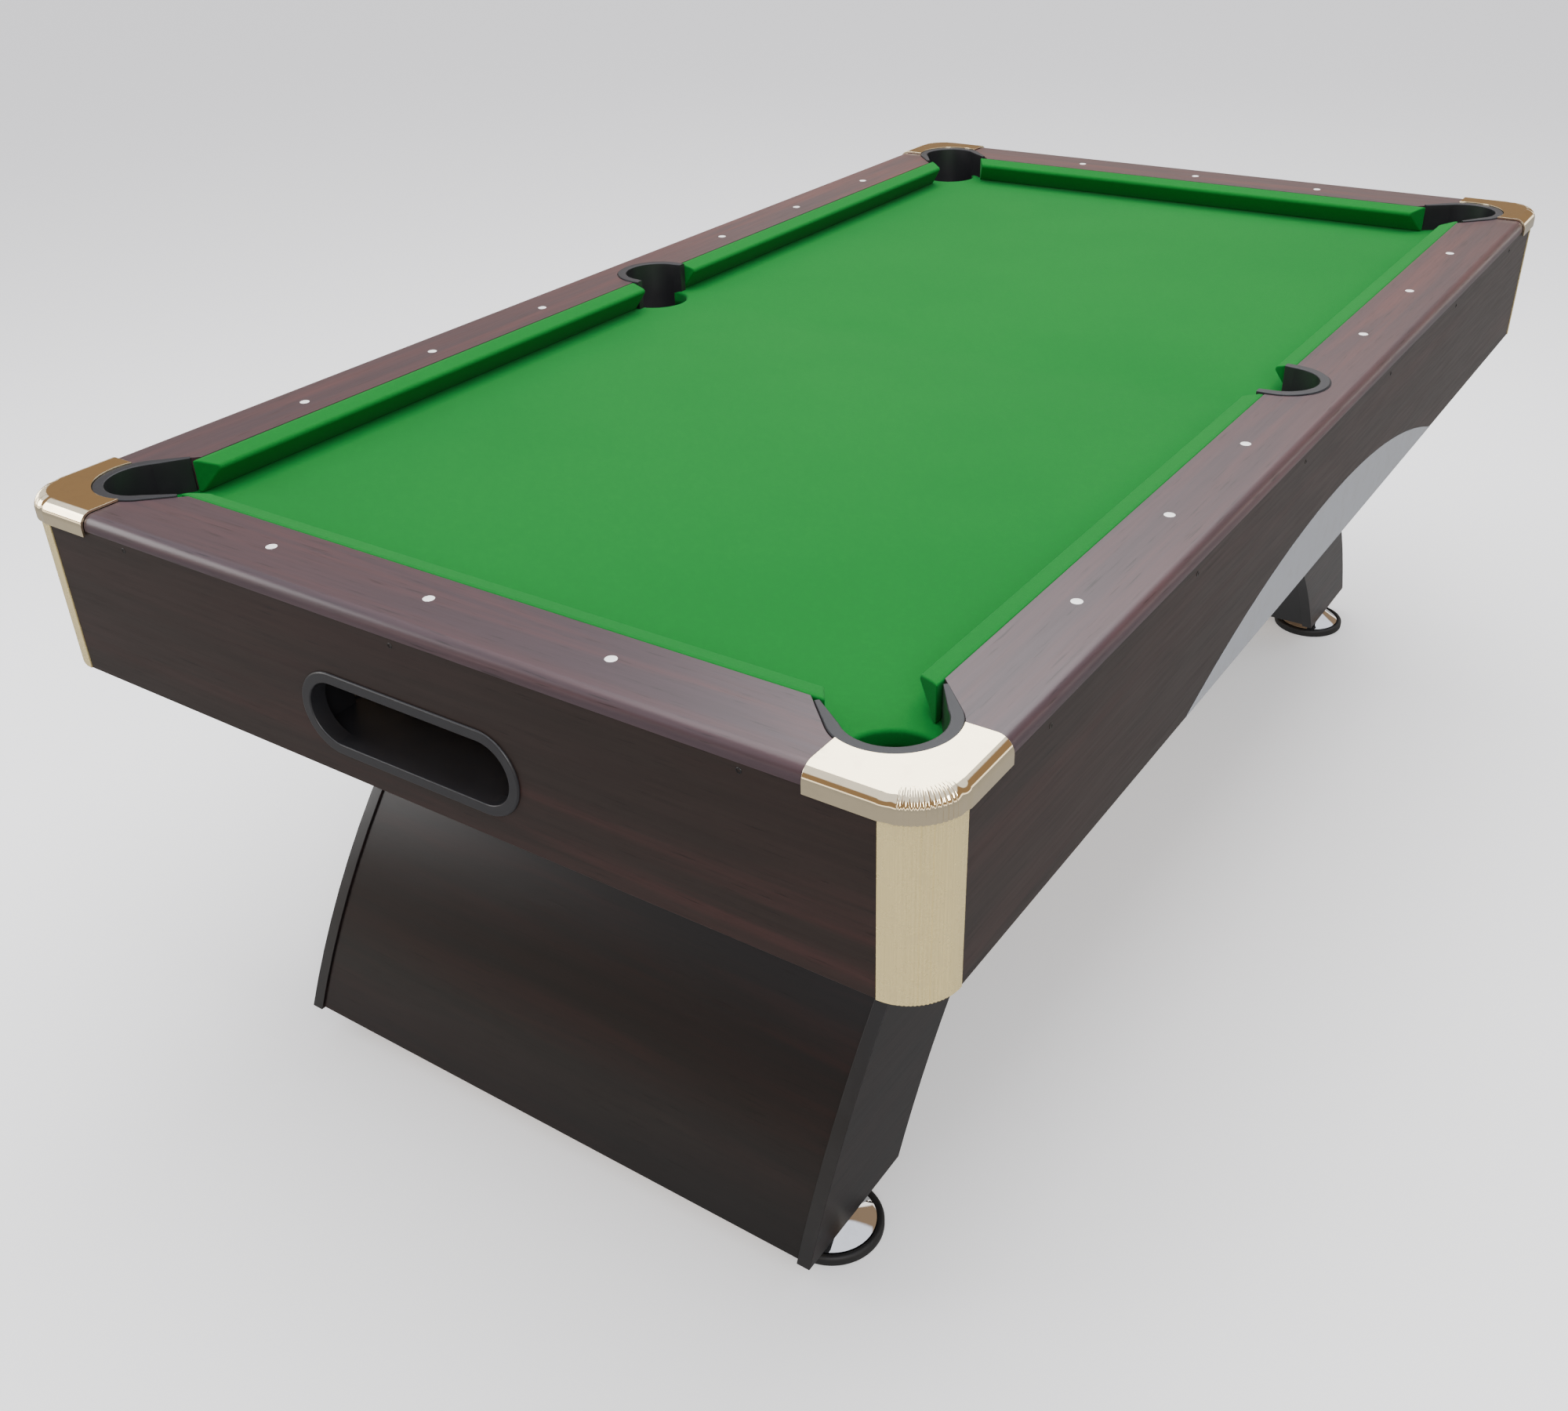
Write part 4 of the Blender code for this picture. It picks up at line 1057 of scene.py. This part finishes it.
class TABLE_OT_window(bpy.types.Operator):
    """Oval frame of the ball window"""

    bl_idname = "table.window"
    bl_label = "Ball window"

    def execute(self, context):
        rim = 0.013
        collar = 0.0025
        centre_z = (BEZEL[0].z + BEZEL[1].z) / 2
        width, height = 2 * (BEZEL[1].x - rim), BEZEL[1].z - BEZEL[0].z - 2 * rim
        face, back = BEZEL[0].y, BEZEL[1].y
        apron_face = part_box("apron_near")[0].y
        bm = prism(self.oval(centre_z, width + 2 * rim, height + 2 * rim), face, apron_face - CLEAR, "Y")
        front = [e for e in bm.edges if all(v.co.y < face + 1e-5 for v in e.verts)]
        bmesh.ops.bevel(bm, geom=front, offset=0.0024, segments=5, profile=0.5, affect="EDGES", material=-1)
        outline = self.oval(centre_z, width + 2 * collar, height + 2 * collar)
        sleeve = prism(outline, face + 0.002, back, "Y")
        hole = prism(self.oval(centre_z, width, height), face - 0.02, back + 0.02, "Y")
        bm = combined(combined(bm, [sleeve], "UNION"), [hole])

        def at_front(edge):
            return all(v.co.y < face + 1e-4 for v in edge.verts)

        soften(bm, 0.0018, 4, 40, at_front)
        piece("window_frame", bm, black_plastic(), ["window_bezel"], sharp=40)
        return {"FINISHED"}

    def oval(self, centre_z, width, height):
        radius = height / 2
        reach = width / 2 - radius
        return arc((reach, centre_z), radius, -90, 90, 40) + arc((-reach, centre_z), radius, 90, 270, 40)


class TABLE_OT_sights(bpy.types.Operator):
    """White round sights let into the rails"""

    bl_idname = "table.sights"
    bl_label = "Rail sights"

    def execute(self, context):
        s = sizes()
        radius = s.sight_diameter / 2
        side_inset, end_inset = 0.0377, 0.0419
        side_x = RAIL[0].x + side_inset
        end_y = END_RAIL[0].y + end_inset
        places = {}
        for name, sign in SIDES.items():
            places[name] = [(sign * side_x, y_sign * step * s.sight_spacing)
                            for y_sign in (-1, 1) for step in (1, 2, 3)]
        for name, sign in ENDS.items():
            places[name] = [(step * s.sight_spacing, sign * end_y) for step in (-1, 0, 1)]
        for name, spots in places.items():
            bm = bmesh.new()
            for x, y in spots:
                made = bmesh.ops.create_circle(bm, cap_ends=True, segments=32, radius=radius)["verts"]
                bmesh.ops.translate(bm, verts=made, vec=(x, y, RAIL_TOP - 0.0002))
                for share, rise in ((1.0, 0.0004), (0.93, 0.0002), (0.6, 0.0001)):
                    top = max((f for f in bm.faces if all(v in set(made) for v in f.verts)),
                              key=lambda f: f.calc_center_median().z)
                    grown = bmesh.ops.extrude_face_region(bm, geom=[top])["geom"]
                    bmesh.ops.delete(bm, geom=[top], context="FACES")
                    made = [v for v in grown if isinstance(v, bmesh.types.BMVert)]
                    centre = Vector((x, y, 0))
                    for vert in made:
                        vert.co = Vector((*(centre + (vert.co - centre) * share).xy, vert.co.z + rise))
            bmesh.ops.recalc_face_normals(bm, faces=bm.faces)
            piece(f"sights_{name}", bm, white_plastic(), sharp=60, weighted=False)
        return {"FINISHED"}


class TABLE_OT_screws(bpy.types.Operator):
    """Dark screws near the top of the four aprons"""

    bl_idname = "table.screws"
    bl_label = "Screws"

    def execute(self, context):
        radius = sizes().screw_diameter / 2
        side_places, side_drop = (-0.88, -0.53, -0.18, 0.18, 0.53, 0.88), 0.030
        end_places, end_drop = (-0.42, 0.0, 0.42), 0.026
        bm = bmesh.new()
        for sign in SIDES.values():
            for y in side_places:
                self.head(bm, (sign * APRON[1].x, y, RAIL_TOP - side_drop), (sign, 0, 0), radius)
        for sign in ENDS.values():
            for x in end_places:
                self.head(bm, (x, sign * END_APRON[1].y, RAIL_TOP - end_drop), (0, sign, 0), radius)
        piece("apron_screws", bm, black_steel(), sharp=40, weighted=False)
        return {"FINISHED"}

    def head(self, bm, place, outward, radius):
        """A low countersunk head with a shallow round socket."""
        profile = [
            (0.0, -0.0006), (radius * 0.42, -0.0006), (radius * 0.5, 0.0003), (radius * 0.85, 0.0005),
            (radius, 0.0), (radius, -0.0005), (0.0, -0.0008),
        ]
        head = turned(profile, 18)
        turn = Vector((0, 0, 1)).rotation_difference(Vector(outward)).to_matrix()
        bmesh.ops.rotate(head, verts=head.verts, matrix=turn)
        bmesh.ops.translate(head, verts=head.verts, vec=place)
        spare = bpy.data.meshes.new("spare")
        head.to_mesh(spare)
        head.free()
        bm.from_mesh(spare)
        bpy.data.meshes.remove(spare)


class TABLE_OT_legs(bpy.types.Operator):
    """Bowed legs: laminated faces with black edges"""

    bl_idname = "table.legs"
    bl_label = "Legs"

    def execute(self, context):
        edge = sizes().board_edge
        for end in ENDS:
            node = f"leg_{end}_outer_panel"
            bm = soften(merged(node), edge / 2)
            piece(f"bowed_panel_{end}", bm, leg_wood("x"), [node])
            node = f"leg_{end}_inner_panel"
            bm = soften(merged(node), edge / 2)
            # Painted shade: the inner panel faces into the shade under the table and takes the near-black
            # edging finish.
            piece(f"back_panel_{end}", bm, black_edge(), [node])
            for side in SIDES:
                node = f"leg_{end}_side_{side}"
                bm = soften(merged(node), edge)
                for face in bm.faces:
                    face.material_index = int(abs(face.normal.x) < 0.9)
                piece(f"side_board_{end}_{side}", bm, [leg_wood("y"), black_edge()], [node])
        return {"FINISHED"}


class TABLE_OT_feet(bpy.types.Operator):
    """Levelling feet: polished dish on a threaded stem, in a rubber pad"""

    bl_idname = "table.feet"
    bl_label = "Levelling feet"

    def execute(self, context):
        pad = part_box("foot_pad_far_right")
        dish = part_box("foot_dish_far_right")
        centre = (pad[0] + pad[1]) / 2
        radius = pad[1].x - centre.x
        rim = radius - (dish[1].x - centre.x) - 2 * CLEAR
        pad_top = pad[1].z
        seat = 0.008
        neck = 0.024
        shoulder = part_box("leg_far_side_right")[0].z - CLEAR
        stem = 0.0049
        inner = dish[1].x - centre.x
        pad_section = [(0, 0), (radius - 0.004, 0)]
        pad_section += arc((radius - 0.003, 0.003), 0.003, -90, 0, 5)
        pad_section += arc((radius - rim / 2, pad_top - rim / 2), rim / 2, 0, 180, 12)
        pad_section += [(radius - rim, seat), (0, seat)]
        dish_section = [(0, seat + CLEAR), (inner, seat + CLEAR), (inner, pad_top - 0.0006)]
        steps = 20
        for step in range(steps + 1):
            share = step / steps
            out = neck + (inner - 0.0008 - neck) * (1 - share) ** 1.35
            dish_section.append((out, pad_top + (shoulder - 0.0012 - pad_top) * share))
        dish_section += [(neck - 0.001, shoulder), (stem + 0.0008, shoulder)]
        pitch = 0.0015
        z = shoulder
        while z < dish[1].z - pitch:
            dish_section += [(stem - 0.0009, z + 0.25 * pitch), (stem, z + 0.75 * pitch)]
            z += pitch
        dish_section += [(stem - 0.001, dish[1].z), (0, dish[1].z)]
        for end, side in CORNERS:
            place = (SIDES[side] * centre.x, ENDS[end] * centre.y, 0)
            for name, section, look, slot, body, sharp in (
                ("pad", pad_section, rubber(), "rubber", "pad", 50),
                ("dish", dish_section, chrome(), "chrome", "dish", 30),
            ):
                bm = turned(section, 72)
                bmesh.ops.translate(bm, verts=bm.verts, vec=place)
                piece(f"levelling_{name}_{end}_{side}", bm, look, [f"foot_{name}_{end}_{side}"],
                      f"{body}_{end}_{side}", sharp, False)
        return {"FINISHED"}


class TABLE_OT_works(bpy.types.Operator):
    """Finishes for what lies inside and under the table"""

    bl_idname = "table.works"
    bl_label = "Inner works"

    def execute(self, context):
        for name, obj in frame["nodes"].items():
            if name.startswith(("ball_", "cross_channel")):
                look = black_plastic()
            else:
                look = fibreboard()
            obj.data.materials.clear()
            obj.data.materials.append(look)
        return {"FINISHED"}


class TABLE_OT_stage(bpy.types.Operator):
    """Pale floor, soft studio light and the camera"""

    bl_idname = "table.stage"
    bl_label = "Studio"

    def execute(self, context):
        bm = bmesh.new()
        bmesh.ops.create_circle(bm, cap_ends=True, segments=96, radius=60.0)
        floor = to_object("studio_floor", bm)
        look = finish_of(
            "pale_floor", moulded_group(), {"Base": (0.88, 0.88, 0.88), "Dust": (0.86, 0.86, 0.87)},
            {"Smooth": 0.75, "Rough": 0.85}, (0.02, 0.02, 0.02), 0.0,
        )
        # Painted reflection: the floor shows a dark warm colour to glossy rays.
        self.paint_dark_floor_reflection(look.node_tree)
        glow = 0.32
        look.node_tree.nodes["Principled BSDF"].inputs["Emission Strength"].default_value = glow
        floor.data.materials.append(look)
        self.light("overhead", (0.0, 0.4, 3.3), (0, 0.1, 0.8), (3.0, 4.2), 190)
        self.light("far_bank", (-1.6, 4.6, 3.6), (0, 0, 0.8), (4.0, 1.4), 25)
        self.light("camera_side", (2.8, -3.6, 2.8), (0, -0.6, 0.5), (1.6, 1.6), 90)
        self.light("left_side", (-3.6, -2.6, 2.2), (-0.2, -0.6, 0.5), (1.8, 1.8), 70)
        self.world(context)
        data = bpy.data.cameras.new("camera")
        data.sensor_width = 36.0
        data.lens = 35.636
        data.clip_start = 0.05
        data.clip_end = 200.0
        camera = bpy.data.objects.new("camera", data)
        camera.location = (1.0806, -1.9660, 1.5129)
        camera.rotation_euler = [math.radians(turn) for turn in (58.6836, 1.5435, 33.9191)]
        context.scene.collection.objects.link(camera)
        context.scene.camera = camera
        return {"FINISHED"}

    def paint_dark_floor_reflection(self, tree):
        """Painted reflection: the floor is pale to look at, and glossy rays see a dark warm floor colour, so
        it is darker in what the table reflects of it.
        """
        base = tree.nodes["Principled BSDF"].inputs["Base Color"]
        pale = base.links[0].from_socket
        path = add(tree, "ShaderNodeLightPath")
        link(tree, mix(tree, path.outputs["Is Glossy Ray"], pale, (0.045, 0.040, 0.036, 1)), base)

    def light(self, name, place, target, size, power):
        data = bpy.data.lights.new(name, "AREA")
        data.shape = "RECTANGLE"
        data.size, data.size_y = size
        data.energy = power
        obj = bpy.data.objects.new(name, data)
        obj.location = place
        obj.rotation_euler = (Vector(target) - Vector(place)).to_track_quat("-Z", "Y").to_euler()
        bpy.context.scene.collection.objects.link(obj)

    def world(self, context):
        """Pale to look at; in reflections a bright line on the horizon, a warm wall and a bright ceiling."""
        world = bpy.data.worlds.new("studio")
        context.scene.world = world
        world.use_nodes = True
        tree = world.node_tree
        background = tree.nodes["Background"]
        places = add(tree, "ShaderNodeTexCoord")
        split = add(tree, "ShaderNodeSeparateXYZ")
        link(tree, places.outputs["Generated"], split.inputs[0])
        height = ramp(tree, split.outputs["Z"], 0.45, 0.53)
        horizon, warm_wall = (1.6, 1.5, 1.35, 1), (0.27, 0.185, 0.115, 1)
        ceiling, seen = (0.95, 0.97, 1.05, 1), (2.6, 2.6, 2.65, 1)
        wall = mix(tree, ramp(tree, split.outputs["Z"], 0.07, 0.11), horizon, warm_wall)
        room = mix(tree, height, wall, ceiling)
        path = add(tree, "ShaderNodeLightPath")
        link(tree, mix(tree, path.outputs["Is Camera Ray"], room, seen), background.inputs["Color"])
        background.inputs["Strength"].default_value = 1.25


STEPS = (
    ("rails", TABLE_OT_rails), ("aprons", TABLE_OT_aprons), ("bed", TABLE_OT_bed),
    ("cushions", TABLE_OT_cushions), ("pockets", TABLE_OT_pockets), ("castings", TABLE_OT_castings),
    ("trims", TABLE_OT_trims), ("window", TABLE_OT_window), ("sights", TABLE_OT_sights),
    ("screws", TABLE_OT_screws), ("legs", TABLE_OT_legs), ("feet", TABLE_OT_feet),
    ("works", TABLE_OT_works), ("stage", TABLE_OT_stage),
)


class TABLE_PT_looks(bpy.types.Panel):
    """Buttons for each group of pieces"""

    bl_label = "Pool table"
    bl_idname = "TABLE_PT_looks"
    bl_space_type = "VIEW_3D"
    bl_region_type = "UI"
    bl_category = "Pool table"

    def draw(self, context):
        for group in (context.scene.table_sizes, context.scene.table_colours):
            for name in group.__annotations__:
                self.layout.prop(group, name)
        for _, operator in STEPS:
            self.layout.operator(operator.bl_idname)


CLASSES = [TableSizes, TableColours] + [operator for _, operator in STEPS] + [TABLE_PT_looks]


def register():
    for cls in CLASSES:
        bpy.utils.register_class(cls)
    bpy.types.Scene.table_sizes = bpy.props.PointerProperty(type=TableSizes)
    bpy.types.Scene.table_colours = bpy.props.PointerProperty(type=TableColours)


def unregister():
    del bpy.types.Scene.table_colours
    del bpy.types.Scene.table_sizes
    for cls in reversed(CLASSES):
        bpy.utils.unregister_class(cls)


def main():
    for obj in list(bpy.data.objects):
        if obj.name in ("Cube", "Light", "Camera"):
            bpy.data.objects.remove(obj, do_unlink=True)
    register()
    for name, _ in STEPS:
        getattr(bpy.ops.table, name)()


if __name__ == "__main__":
    main()
